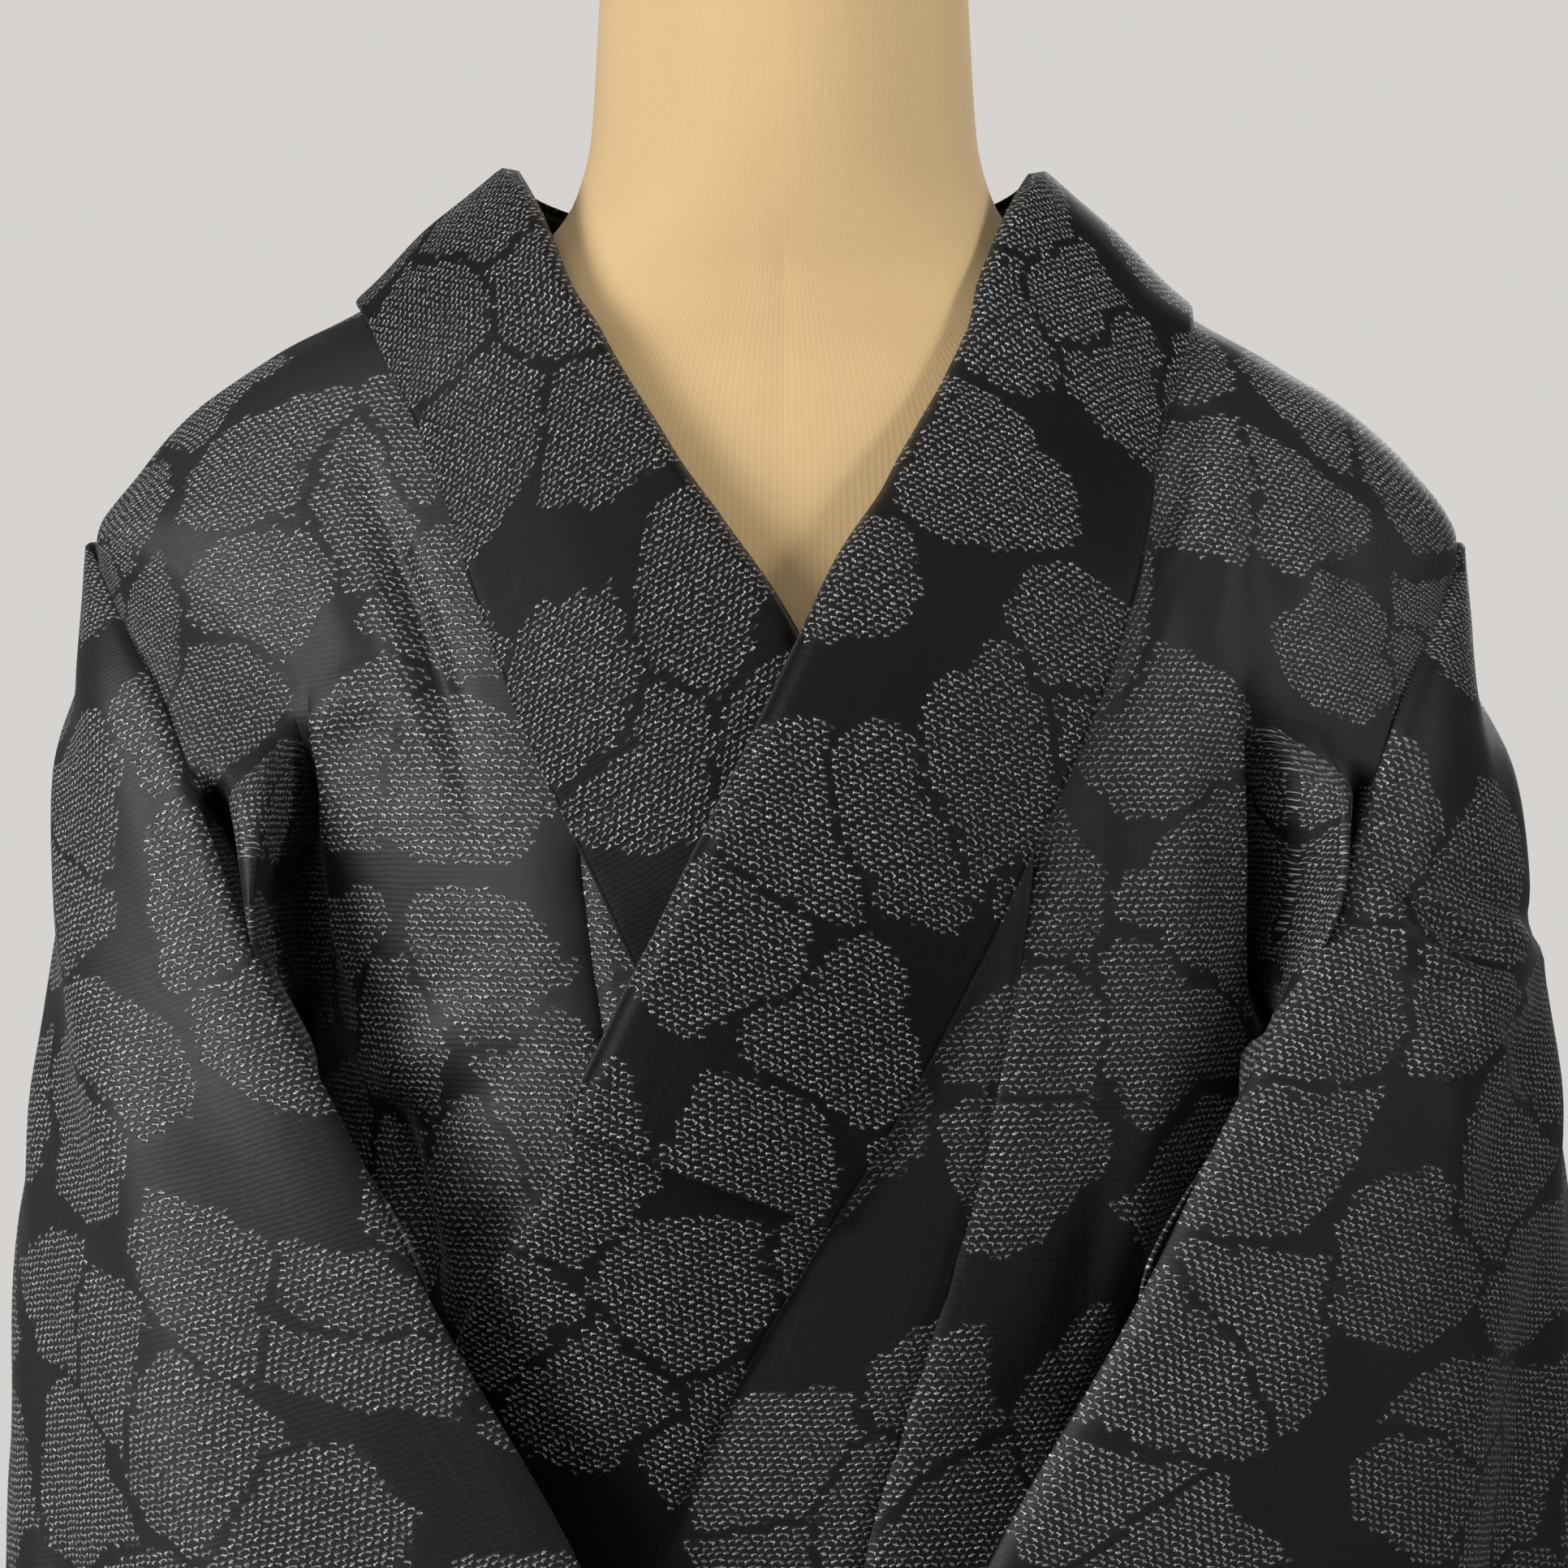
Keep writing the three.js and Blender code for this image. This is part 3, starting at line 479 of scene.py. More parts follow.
def flap_shape(side, k, t, B, zB, zO):
    """From the bust's edge back into the tuck beside it and out to the armhole."""
    sh = at(MIDDLE, "shift", zO)
    A = np.stack([side * (at(ARMHOLE, "edge_x", zO) + 2.4 * smooth(1466, 1440, zO)) + sh,
                  at(ARMHOLE, "edge_y", zO), zO], -1)
    D = np.stack([side * at(ARMHOLE, "deep_x", zO) + sh, at(ARMHOLE, "deep_y", zO), (zB + zO) / 2], -1)
    C = 2 * D - 0.5 * B - 0.5 * A
    u = t[..., None]
    plain = B * (1 - u) ** 2 + C * 2 * u * (1 - u) + A * u * u
    T = TUCKS[side]
    zm = (zB + zO) / 2
    bx, ax = side * (B[..., 0] - sh), side * (A[..., 0] - sh)
    full = 4 * smooth(1425, 1400, zm) * smooth(1320, 1350, zm)

    q1, q2, cave = (0.80, 0.12, 7) if side < 0 else (0.80, 0.30, 2)

    def pt(share, x, dd=0.0, ee=0.0, fwd=0.0):
        """A control point: x names where it lies across, the depths are shares."""
        z = lerp(zB, zO, share)
        g, r, t_ = (at(T, c, z) for c in "grt")
        g = g + cave * smooth(1394, 1372, z)
        X_ = {"b": bx, "bg": lerp(bx, g, 0.62), "g": g, "g1": lerp(g, r, 0.38) + 0.6 * cave * smooth(1394, 1372, z),
              "g2": lerp(g, r, 0.86) + 0.35 * cave * smooth(1394, 1372, z),
              "r": r, "rt": lerp(r, t_, 0.5), "t": t_, "ta": lerp(t_, ax, 0.45), "tb": lerp(t_, ax, 0.85)}[x]
        w = np.clip((X_ - bx) / np.maximum(ax - bx, 1), 0, 1)
        y = lerp(B[..., 1], A[..., 1], w) - full * 4 * w * (1 - w) + fwd
        # low down the ridge sinks behind the sleeve's edge
        y = y + 9 * smooth(1364, 1346, z) * w
        y = y + dd * at(T, "d", z) + ee * at(T, "e", z)
        return np.stack([side * X_ + sh, y, z], -1)
    pts = [B, pt(0.08, "b", 0.28, 0, 0.5), pt(0.16, "bg", 0.9), pt(0.26, "g", 1.15), pt(0.36, "g1", q1),
           pt(0.47, "g2", q2), pt(0.56, "r", -0.02, 0, -2.0), pt(0.65, "rt", 0, 0, -2.5),
           pt(0.74, "t", 0, 0.1, -1.0), pt(0.84, "ta", 0, 1.3), pt(0.93, "tb", 0, 1.0), A]
    made = spline(pts, t)
    # higher up the cloth runs from the shoulder to the armhole without a tuck
    e = 1.0
    phi0 = phi_of(bx, zB)
    dirn = unit(own(side, np.minimum(phi0 + e, 90), lerp(zB, zO, 0.06), 0) - own(side, phi0, zB, 0))
    chord = A - B
    L = np.linalg.norm(chord, axis=-1, keepdims=True)
    P1 = B + dirn * L * 0.36
    P2 = A - unit(chord + np.stack([0 * bx, 0.25 * L[..., 0], 0 * bx], -1)) * L * 0.3
    eased = B * (1 - u) ** 3 + 3 * P1 * u * (1 - u) ** 2 + 3 * P2 * u * u * (1 - u) + A * u ** 3
    made = lerp(made, eased, smooth(1404, 1424, lerp(zB, zO, 0.35))[..., None])
    w = smooth(1318, 1342, zm)[..., None]
    return lerp(plain, made, w)


def front_grid(side, k, c):
    """k: rows (n,), c: columns (m,) -> points (n, m, 3)."""
    K, Cc = np.meshgrid(k, c, indexing="ij")
    inner, bust, outer = (level(x, K) for x in ("inner", "bust", "outer"))
    mid = -CLOTH / 2
    ramp = np.clip(K, 0, 1)
    in_x = np.where(inner > GORE_TOP, collar_seam(side, inner) - UNDER_COLLAR,
                    gore_seam(side, inner) + SEAM / 2)
    # the seam's edge passes from under the collar to the gore without a step
    w = smooth(GORE_TOP + 14, GORE_TOP - 10, inner)
    in_x = lerp(collar_seam(side, inner) - UNDER_COLLAR, gore_seam(side, inner) + SEAM / 2, w)
    phi_in = lerp(90, phi_of(in_x, inner), ramp)
    joined = smooth(OPEN_UNTIL - 1, OPEN_UNTIL, K)
    phi_b = lerp(90, lerp(at(ARMHOLE, "bust_phi", bust), 60, joined), ramp)
    # the bust's outer edge wanders in and out beside the hollow
    edge_phi = phi_of(at(TUCKS[side], "b", bust), bust)
    phi_b = lerp(phi_b, lerp(edge_phi, 90, smooth(1472, 1490, bust)), ramp * smooth(1236, 1262, bust))
    t = np.minimum(Cc / ARC, 1)
    phi = lerp(phi_in, phi_b, t)
    past = Cc > ARC
    phi_j = np.where(past, lerp(phi_b, SIDE_PHI, (Cc - ARC) / FLAP), phi)
    z = lerp(inner, bust, t)
    zj = np.where(past, lerp(z, outer, np.clip((Cc - ARC) / FLAP, 0, 1)), z)
    P_join = own(side, phi_j, zj, stand(side, phi_j, zj) + mid)
    B = own(side, phi_b, bust, stand(side, phi_b, bust) + mid)
    tf = np.clip((Cc - ARC) / FLAP, 0, 1)
    P_flap = flap_shape(side, K, tf, B, bust, outer)
    # round the turn at the bust's edge
    Pl = own(side, 90, lerp(bust, outer, tf), mid)
    P_flap = lerp(Pl, P_flap, ramp[..., None])
    P_open = np.where(past[..., None], P_flap, P_join)
    P = lerp(P_open, P_join, joined[..., None])
    return P


def back_grid(side, k, c):
    K, Cc = np.meshgrid(k, c, indexing="ij")
    n = NECK + ARC + FLAP
    outer = level("outer", K)
    r0 = {x: float(level(x, 0)) for x in ("inner", "bust", "outer")}
    q = Cc - NECK
    top_z = np.where(Cc <= NECK, lerp(1545, 1550, Cc / NECK),
                     np.where(q <= ARC, lerp(r0["inner"], r0["bust"], q / ARC),
                              lerp(r0["bust"], r0["outer"], (q - ARC) / FLAP)))
    top_phi = np.where(Cc <= NECK, lerp(180, 90, Cc / NECK), 90)
    low = float(level("outer", LAST_UPPER))
    share = np.clip(K / LAST_UPPER, 0, 1)
    z = np.where(K >= LAST_UPPER, outer, lerp(top_z, low, share))
    edge = at(ARMHOLE_BACK, "phi", z)
    even = lerp(180, edge, Cc / n)
    w = 1 - (1 - share) ** 2.2
    joined = smooth(OPEN_UNTIL - 1, OPEN_UNTIL, K)
    phi = lerp(lerp(top_phi, even, w), lerp(180, SIDE_PHI, Cc / n), joined)
    # the armhole edge keeps its own line down to the joined part
    lastw = smooth(n - 1.2, n, Cc) * (1 - joined) * np.clip(K, 0, 1)
    phi = lerp(phi, edge, lastw)
    d = np.where(phi < 90, stand(side, phi, z), 0) - CLOTH / 2
    P = own(side, phi, z, d)
    cb = smooth(0.35, 0, Cc)
    P[..., 0] = lerp(P[..., 0], side * SEAM / 2, cb)
    return P


def spaced(fn, k0, k1, step, probe):
    """Rows between k0 and k1 about step mm apart along the probe column."""
    kk = np.linspace(k0, k1, 200)
    P = fn(kk, np.array([probe]))[:, 0]
    s = np.concatenate([[0], np.cumsum(np.linalg.norm(np.diff(P, axis=0), axis=1))])
    n = max(2, int(round(s[-1] / step)) + 1)
    return np.interp(np.linspace(0, s[-1], n), s, kk)


def column_steps(total, per):
    return np.linspace(0, total, total * per + 1)


def seam_roll(P, N, dist, depth=1.3, reach=3.0):
    """Cloth turns in at a seam. dist: mm to the seam along the cloth."""
    return P - N * (depth * np.exp(-((dist / reach) ** 2)))[..., None]


def pucker(dist, along, seed, amp=0.45, reach=9.0, wave=11.0):
    return amp * np.exp(-dist / reach) * noise(along / wave, dist * 0 + 0.5, seed)


def panel(name, side, mats, offset):
    per = 6
    cf = np.concatenate([np.linspace(0, ARC, ARC * per + 1), np.linspace(ARC, ARC + FLAP, 43)[1:]])
    cb = np.concatenate([np.linspace(0, NECK, NECK * per + 1)[:-1], NECK + cf])
    fn = lambda k, c: front_grid(side, k, c)
    ku = spaced(fn, 0, OPEN_UNTIL, 4.3, 5.0)
    kl = spaced(fn, OPEN_UNTIL, LAST, 8.0, 5.0)
    k = np.concatenate([ku, kl[1:]])
    F = front_grid(side, k, cf)
    B = back_grid(side, k, cb)
    B[0, NECK * per:] = F[0]
    # cloth coordinates: across from a line down the panel at 95 mm, along from
    # the shoulder line
    def coords(G, sign):
        across = arc(G, 1)
        ax = np.abs(G[..., 0] - at(MIDDLE, "shift", G[..., 2]))
        n_, m_ = ax.shape
        ref = np.zeros(n_)
        for i in range(n_):
            j = int(np.argmax(ax[i] >= 95))
            if j == 0:
                ref[i] = across[i, 0] + (95 - ax[i, 0]) if ax[i, 0] >= 95 else across[i, -1]
            else:
                f = (95 - ax[i, j - 1]) / (ax[i, j] - ax[i, j - 1])
                ref[i] = lerp(across[i, j - 1], across[i, j], f)
        pad = np.pad(ref, 6, mode="edge")
        ref = np.convolve(pad, np.ones(13) / 13, mode="valid")
        U = 215 - (across - ref[:, None])
        # past the tuck the threads are counted from the armhole's edge, so the
        # pattern runs on level from row to row and the shift hides in the tuck
        ib = m_ - 43
        straight = np.linalg.norm(G[:, -1] - G[:, ib], axis=1)
        U2 = (U[:, ib] - straight)[:, None] + across[:, -1:] - across
        w_ = np.zeros(m_)
        w_[ib:] = smooth(0.12, 0.40, np.linspace(0, 1, 43))
        U = lerp(U, U2, w_[None, :] * (k < OPEN_UNTIL)[:, None] * (1 if sign > 0 else 0))
        return np.stack([U, down_length(ax, G[..., 2], sign), 0 * U], -1)
    cu = coords(F, 1)
    cB = coords(B, -1)
    fit = cu[0, 0, 0] - cB[0, NECK * per, 0]
    cB[..., 0] += fit
    cB[0, NECK * per:] = cu[0]
    # distances to seams, for the turned edges
    NF = grid_normals(F)
    NB = grid_normals(B)
    if (NF[len(k) // 2, 10] * (F[len(k) // 2, 10] - [0, 0, F[len(k) // 2, 10, 2]])).sum() < 0:
        NF = -NF
    if (NB[len(k) // 2, 10] * (B[len(k) // 2, 10] - [0, 0, B[len(k) // 2, 10, 2]])).sum() < 0:
        NB = -NB
    acF, acB = arc(F, 1), arc(B, 1)
    inF = acF                     # to the gore seam or collar
    outF = acF[:, -1:] - acF      # to the side seam
    inB = acB                     # to the centre back
    outB = acB[:, -1:] - acB
    dnF, dnB = arc(F, 0), arc(B, 0)
    K = np.broadcast_to(k[:, None], inF.shape)
    KB = np.broadcast_to(k[:, None], inB.shape)
    seamed = smooth(11.4, 12, K)
    seamedB = smooth(11.4, 12, KB)
    gored = smooth(GORE_TOP + 4, GORE_TOP - 6, F[..., 2])
    # soft unevenness of the whole panel, kept small where layers lie close
    calm = smooth(0, 22, inF) * smooth(0, 14, outF) * smooth(0, 20, dnF)
    d = calm * (1.1 * noise(cu[..., 0] / 46, cu[..., 1] / 70, 1 if side > 0 else 2)
                + 0.55 * noise(cu[..., 0] / 19, cu[..., 1] / 34, 3))
    d += gored * pucker(inF, dnF, 4) + seamed * pucker(outF, dnF, 5)
    for path, wide, depth, *lip in PANEL_FOLDS[side]:
        d += calm * fold(F[..., 0], F[..., 2], path, wide, depth, *(lip or [0])) * (cu[..., 0] * 0 + 1)
    d -= 1.3 * np.exp(-((inF / 3) ** 2)) * gored + 1.2 * np.exp(-((outF / 3) ** 2)) * seamed
    F = F + NF * d[..., None]
    calm = smooth(0, 14, inB) * smooth(0, 14, outB) * smooth(0, 20, dnB)
    d = calm * (1.3 * noise(cB[..., 0] / 50, cB[..., 1] / 90, 6)
                + 0.6 * noise(cB[..., 0] / 21, cB[..., 1] / 40, 7 if side > 0 else 0))
    d += pucker(inB, dnB, 2) * smooth(0, 30, dnB) + seamedB * pucker(outB, dnB, 5)
    d -= 1.3 * np.exp(-((inB / 3) ** 2)) * smooth(0, 12, dnB) + 1.2 * np.exp(-((outB / 3) ** 2)) * seamedB
    d[0, NECK * per:] = 0
    B = B + NB * d[..., None]
    B[0, NECK * per:] = F[0]
    # front and back share the shoulder row and make one shell
    nk, nf, nb = len(k), len(cf), len(cb)
    P = np.concatenate([F.reshape(-1, 3), B.reshape(-1, 3)])
    uv = np.concatenate([cu.reshape(-1, 3), cB.reshape(-1, 3)])
    QF = quads(nk, nf)
    QB = quads(nk, nb)[:, ::-1] + nk * nf
    remap = np.arange(len(P))
    for c in range(nf):
        remap[nk * nf + NECK * per + c] = c
    Q = remap[np.concatenate([QF, QB])]
    Q = oriented(P, Q, np.array([0, 0, 0]) + np.array([0, 10, 0]) * 0 + [0, 0, float(P[:, 2].mean())])
    uv = uv / 1000 + np.array(offset)
    return shell(name, P, Q, SHELL, uv, mats)


# Folds of one panel only, on its front: path of (x, z), half-width, depth, lip.
PANEL_FOLDS = {
    -1: [
        ([(-121, 1492), (-113, 1468), (-106, 1451), (-98, 1428), (-91, 1410), (-88, 1396)], 4.5, -4.6, 2.0),
        ([(-137, 1385), (-139, 1402), (-134, 1416), (-124, 1425), (-112, 1426), (-102, 1418)], 7, 3.2),
        ([(-118, 1410), (-108, 1404), (-100, 1392)], 8, -1.6),
        ([(-134, 1470), (-126, 1448), (-122, 1432)], 8, 1.6),
        ([(-128, 1340), (-112, 1336), (-92, 1346)], 8, -2.2),
        ([(-130, 1312), (-112, 1318), (-86, 1338)], 8, 3.0),
        ([(-120, 1304), (-100, 1306), (-74, 1322)], 6, -2.4),
        ([(-122, 1316), (-113, 1300), (-105, 1272), (-101, 1244)], 8, -11.0),
        ([(-104, 1300), (-92, 1284), (-88, 1262)], 8, 3.4),
        ([(-98, 1266), (-82, 1276), (-66, 1290)], 5, -1.8),
        ([(-60, 1400), (-64, 1350), (-56, 1300)], 9, 1.2),
        ([(-70, 1310), (-62, 1290), (-58, 1262)], 5, -1.5),
    ],
    1: [
        ([(122, 1508), (114, 1486), (101, 1458), (98, 1440), (92, 1426)], 5, -4.0, -1.8),
        ([(134, 1506), (126, 1474), (122, 1446), (124, 1430)], 7, 2.2),
        ([(116, 1424), (110, 1395), (112, 1360), (114, 1330)], 8, 1.8),
        ([(92, 1432), (88, 1400), (84, 1350), (72, 1300)], 6, -1.6),
        ([(146, 1490), (150, 1462), (156, 1440), (158, 1424)], 7, 2.0),
        ([(136, 1478), (138, 1450), (142, 1432)], 6, -1.8),
        ([(106, 1330), (98, 1290), (92, 1250)], 8, 2.0),
        ([(92, 1312), (84, 1270), (78, 1230)], 6, -1.8),
        ([(113, 1280), (104, 1258), (96, 1240), (86, 1222)], 8, -10.0),
    ],
}


def gore(name, side, mats, offset):
    z = np.concatenate([np.arange(GORE_TOP, 870, -4.5), np.linspace(870, 780, 26)[:-1],
                        np.linspace(780, HEM_Z, 94)])
    c = np.linspace(0, 1, 41)
    Z, C = np.meshgrid(z, c, indexing="ij")
    outer = gore_seam(side, Z) - SEAM / 2
    under = collar_seam(side, Z) - UNDER_COLLAR
    inner = lerp(GORE_FREE_EDGE, under, smooth(790, 870, Z))
    x = lerp(inner, outer - np.clip(1 - (GORE_TOP - Z) / 37, 0, 1), C)
    phi = phi_of(x, Z)
    P = own(side, phi, Z, stand(side, phi, Z) - CLOTH / 2)
    N = grid_normals(P)
    if N[60, 20, 1] > 0:
        N = -N
    across = arc(P, 1)
    U = across[:, -1:] - across
    V = arc(P, 0)
    V = V[:, 30:31] + 0 * V
    free = smooth(800, 770, Z) * across          # to the free edge
    d = smooth(0, 14, U) * (0.9 * noise(U / 40, V / 80, 3 if side > 0 else 5)) * smooth(0, 40, V)
    d += pucker(U, V, 1) - 1.3 * np.exp(-((U / 3) ** 2))
    if side < 0:
        d = d * 0.6
    # the free front edge lifts a little, more in places
    lift = smooth(800, 700, Z) * np.exp(-((across / 26) ** 2))
    if side > 0:
        d += lift * (2.2 + 1.8 * noise(Z / 90, Z * 0, 2))
    P = P + N * d[..., None]
    uv = np.stack([U, V, 0 * U], -1).reshape(-1, 3) / 1000 + np.array(offset)
    Q = oriented(P.reshape(-1, 3), quads(len(z), len(c)), np.array([0, 0, 700]))
    return shell(name, P.reshape(-1, 3), Q, SHELL, uv, mats)


# ------------------------------------------------------------------- collar
def collar_rows(side, q, w, lift):
    pick = lambda col: at(COLLAR, col, q)
    z = lerp(pick("seam_z"), pick("edge_z"), w)
    x = lerp(pick("seam_x"), pick("edge_x"), w) + side * at(MIDDLE, "x", z)
    phi = np.where(q <= 1e-9, 90, phi_of(x, z))
    return own(side, phi, z, stand(side, phi, z) + lift)


def neck_rows(side, t, w, lift):
    s0, e0 = COLLAR["seam_z"][0], COLLAR["edge_z"][0]
    seam, edge = lerp(s0, 1537, t), lerp(e0, 1580, t)
    return own(side, lerp(90, 180, t), lerp(seam, edge, w), lift)


def band(name, ends, lift, thick, lo, hi, mats, offset, seed, press, roll):
    """A folded band: a flat tube with rounded edges that follows the body."""
    nw = 30
    w = lo + (hi - lo) * (0.5 - 0.5 * np.cos(np.linspace(0, math.pi, nw)) * 0.35
                          + (np.linspace(0, 1, nw) - 0.5) * 0.65)
    w[0], w[-1] = lo, hi
    s = (w - lo) / (hi - lo)
    half = thick / 2 * (1 - np.abs(2 * s - 1) ** 14) ** 0.5 * lerp(0.72, 1.0, smooth(0.0, 0.5, s))
    # the layers press together at the seam and roll over at the fold
    sink = press * smooth(0.55, 0.0, s) + roll * smooth(0.945, 1.0, s)
    qs = []
    qq = np.linspace(0, ends, 2400)
    mid = collar_rows(1, qq, np.full_like(qq, 0.5), 0.0)
    L = np.concatenate([[0], np.cumsum(np.linalg.norm(np.diff(mid, axis=0), axis=1))])
    n = int(L[-1] / 4.2)
    qs = np.interp(np.linspace(0, L[-1], n), L, qq)
    tn = np.linspace(0, 1, 27)
    def rows(lf):
        out = []
        W = w[None, :]
        out.append(collar_rows(-1, qs[::-1, None] + 0 * W, W + 0 * qs[:, None], lf))
        out.append(neck_rows(-1, tn[1:, None] + 0 * W, W + 0 * tn[1:, None], lf))
        out.append(neck_rows(1, tn[::-1][1:-1, None] + 0 * W, W + 0 * tn[1:-1, None], lf))
        out.append(collar_rows(1, qs[:, None] + 0 * W, W + 0 * qs[:, None], lf))
        return np.concatenate(out)
    M = rows(lift)
    N = unit(rows(lift + 1.0) - M)
    V = arc(M, 0)[:, nw // 2]
    across = arc(M, 1)
    width = across[:, -1:]
    dist_edge = width - across
    U = across
    Vg = V[:, None] + 0 * U
    # a soft crown, gentle unevenness, and the stitched edge on the seam side
    d = 0.5 * np.sin(np.pi * s)[None, :] + 0.45 * noise(U / 40, Vg / 75, seed) * np.sin(np.pi * s)[None, :]
    d += pucker(U, Vg, seed + 1, amp=0.3, reach=7, wave=9)
    if ends < COLLAR["q"][-1]:
        # the over-collar's end on the left front stands off the collar a little
        far = (V[-1] - V)[:, None]
        M = M + N * (np.exp(-((far / 15) ** 2)) * (smooth(0.02, 0.3, s) + 2.6 * smooth(0.2, 0.9, s))[None, :])[..., None]
    M = M - N * sink[None, :, None]
    # the right half's run under the left front is pressed flat by it
    under = smooth(25, 45, M[..., 0]) * (np.arange(len(M)) < len(qs))[:, None]
    M = M - N * (2.8 * under)[..., None]
    top = M + N * (half[None, :] + d)[..., None]
    bot = M - N * half[None, :, None]
    nr = len(M)
    # ring of points round the cross-section
    ring = np.concatenate([top, bot[:, 1:-1][:, ::-1]], 1)
    ruv = np.concatenate([np.stack([U, Vg, 0 * U], -1), np.stack([U, Vg, 0 * U], -1)[:, 1:-1][:, ::-1]], 1)
    m = ring.shape[1]
    r, c = np.meshgrid(np.arange(nr - 1), np.arange(m), indexing="ij")
    Q = np.stack([r * m + c, r * m + (c + 1) % m, (r + 1) * m + (c + 1) % m, (r + 1) * m + c], -1).reshape(-1, 4)
    # closed ends
    caps = []
    for row, flip in ((0, False), (nr - 1, True)):
        for i in range(nw - 1):
            a, b = row * m + i, row * m + i + 1
            cc = row * m + (m - i - 1 if i else 0)
            e = row * m + (m - i) % m
            cc = row * m + (m - i - 1) if i < nw - 2 else row * m + i + 1
            quad = [a, b, cc, e]
            uniq = []
            for x in quad:
                if x not in uniq:
                    uniq.append(x)
            if len(uniq) < 3:
                continue
            if len(uniq) == 3:
                uniq.append(uniq[-1])
            caps.append(uniq[::-1] if flip else uniq)
    P = ring.reshape(-1, 3)
    fn = np.cross(P[Q[:, 2]] - P[Q[:, 0]], P[Q[:, 3]] - P[Q[:, 1]])
    centre = np.repeat(M[:, nw // 2], m, 0)[Q[:, 0]]
    if (fn * (P[Q[:, 0]] - centre)).sum() < 0:
        Q = Q[:, ::-1]
        caps = [x[::-1] for x in caps]
    tris = np.array([x[:3] if len(set(x)) == 3 else x[:3] for x in caps])
    tris2 = np.array([[x[0], x[2], x[3]] for x in caps if len(set(x)) == 4])
    uv = ruv.reshape(-1, 3) / 1000 + np.array(offset)
    fix = [f for f in (Q, clean_tris(tris), clean_tris(tris2)) if len(f)]
    return make_mesh(name, P, fix, mats, {"cloth": uv})


def clean_tris(t):
    if not len(t):
        return t
    ok = (t[:, 0] != t[:, 1]) & (t[:, 1] != t[:, 2]) & (t[:, 0] != t[:, 2])
    return t[ok]


# ------------------------------------------------------------------- sleeve
# Folds of a sleeve's front layer: path of (x, z) with x towards the sleeve's own side.
SLEEVE_DETAIL = {
    -1: [
        ([(226, 1326), (206, 1336), (184, 1352), (164, 1356)], 8, -2.6, 2.2),
        ([(224, 1330), (214, 1300), (206, 1262), (200, 1220)], 7, -3.0, 1.6),
        ([(212, 1420), (200, 1390), (184, 1368)], 9, 2.0),
        ([(196, 1400), (178, 1376), (170, 1352)], 6, -1.6),
        ([(216, 1250), (196, 1190), (170, 1120), (150, 1060)], 12, -3.0, 2.0),
        ([(160, 1300), (130, 1240), (100, 1190)], 14, 2.0),
        ([(180, 1270), (150, 1200), (120, 1130), (90, 1080)], 12, -2.2),
        ([(120, 1180), (90, 1130), (60, 1090)], 12, 2.2),
    ],
    1: [
        ([(164, 1380), (178, 1364), (192, 1354), (208, 1344)], 4.2, -4.8, 3.4),
        ([(166, 1368), (178, 1352), (194, 1340), (210, 1334)], 4.5, 3.0, -1.6),
        ([(184, 1378), (204, 1366), (226, 1356)], 4.5, -3.2, 2.2),
        ([(190, 1350), (206, 1330), (216, 1306)], 5.5, -2.6, 1.8),
        ([(206, 1420), (204, 1396), (196, 1376)], 8, 2.0),
        ([(168, 1360), (176, 1330), (182, 1290)], 9, 2.2),
        ([(196, 1330), (198, 1290), (190, 1240)], 8, -2.0),
        ([(214, 1290), (206, 1220), (190, 1140)], 11, -3.0, 2.0),
        ([(150, 1290), (124, 1230), (96, 1170)], 13, 1.8),
        ([(176, 1250), (146, 1180), (112, 1110)], 12, -2.2),
    ],
}


def sleeve_rows(side, v, t, back):
    """v (n,), t (m,) from the front inner edge to the outer fold, or from the
    fold to the back inner edge."""
    Vv, T = np.meshgrid(v, t, indexing="ij")
    s = lambda col: at(SLEEVE, col, Vv)
    I = np.stack([s("ix") + 1.2, s("iy") - lerp(5, 2.6, smooth(0.02, 0.25, Vv)), s("iz")], -1)
    O = np.stack([s("left_x" if side > 0 else "right_x"), s("oy"), s("oz")], -1)
    J = np.stack([s("jx") + 1.6, s("jy") + 1.6, s("jz")], -1)
    wide, deep = O[..., 0] - I[..., 0], O[..., 1] - I[..., 1]
    bulge = 8 + 84 * smooth(0, 0.5, Vv) - 24 * smooth(0.7, 1, Vv)

    def bez(a, b, c, d, t):
        return a * (1 - t) ** 3 + 3 * b * t * (1 - t) ** 2 + 3 * c * t * t * (1 - t) + d * t**3

    def front(T):
        p = np.stack([
            bez(I[..., 0], I[..., 0] + wide * 0.6, O[..., 0], O[..., 0], T),
            bez(I[..., 1], I[..., 1] - 6 * Vv, I[..., 1] + deep * 0.38, O[..., 1], T),
            bez(I[..., 2], lerp(I[..., 2], O[..., 2], 0.42), lerp(I[..., 2], O[..., 2], 0.82), O[..., 2], T)], -1)
        for top, low, w, depth in SLEEVE_FOLDS:
            p[..., 1] += depth * smooth(0.1, 0.6, Vv) * np.exp(-(((T - lerp(top, low, Vv)) / w) ** 2))
        return p
    if not back:
        return front(T)
    free = np.stack([
        bez(O[..., 0], O[..., 0], lerp(J[..., 0], O[..., 0], 0.62), J[..., 0], T),
        bez(O[..., 1], O[..., 1] + bulge,
            J[..., 1] + lerp(12, 42, smooth(0.1, 0.45, Vv)) + 24 * smooth(0.45, 0.75, Vv), J[..., 1], T),
        bez(O[..., 2], lerp(O[..., 2], J[..., 2], 0.2), lerp(O[..., 2], J[..., 2], 0.6), J[..., 2], T)], -1)
    shut = front(1 - T) + np.array([0, BOTTOM_THICK, 1])
    flat = smooth(0.8, 1, Vv)[..., None]
    return lerp(free, shut, flat)


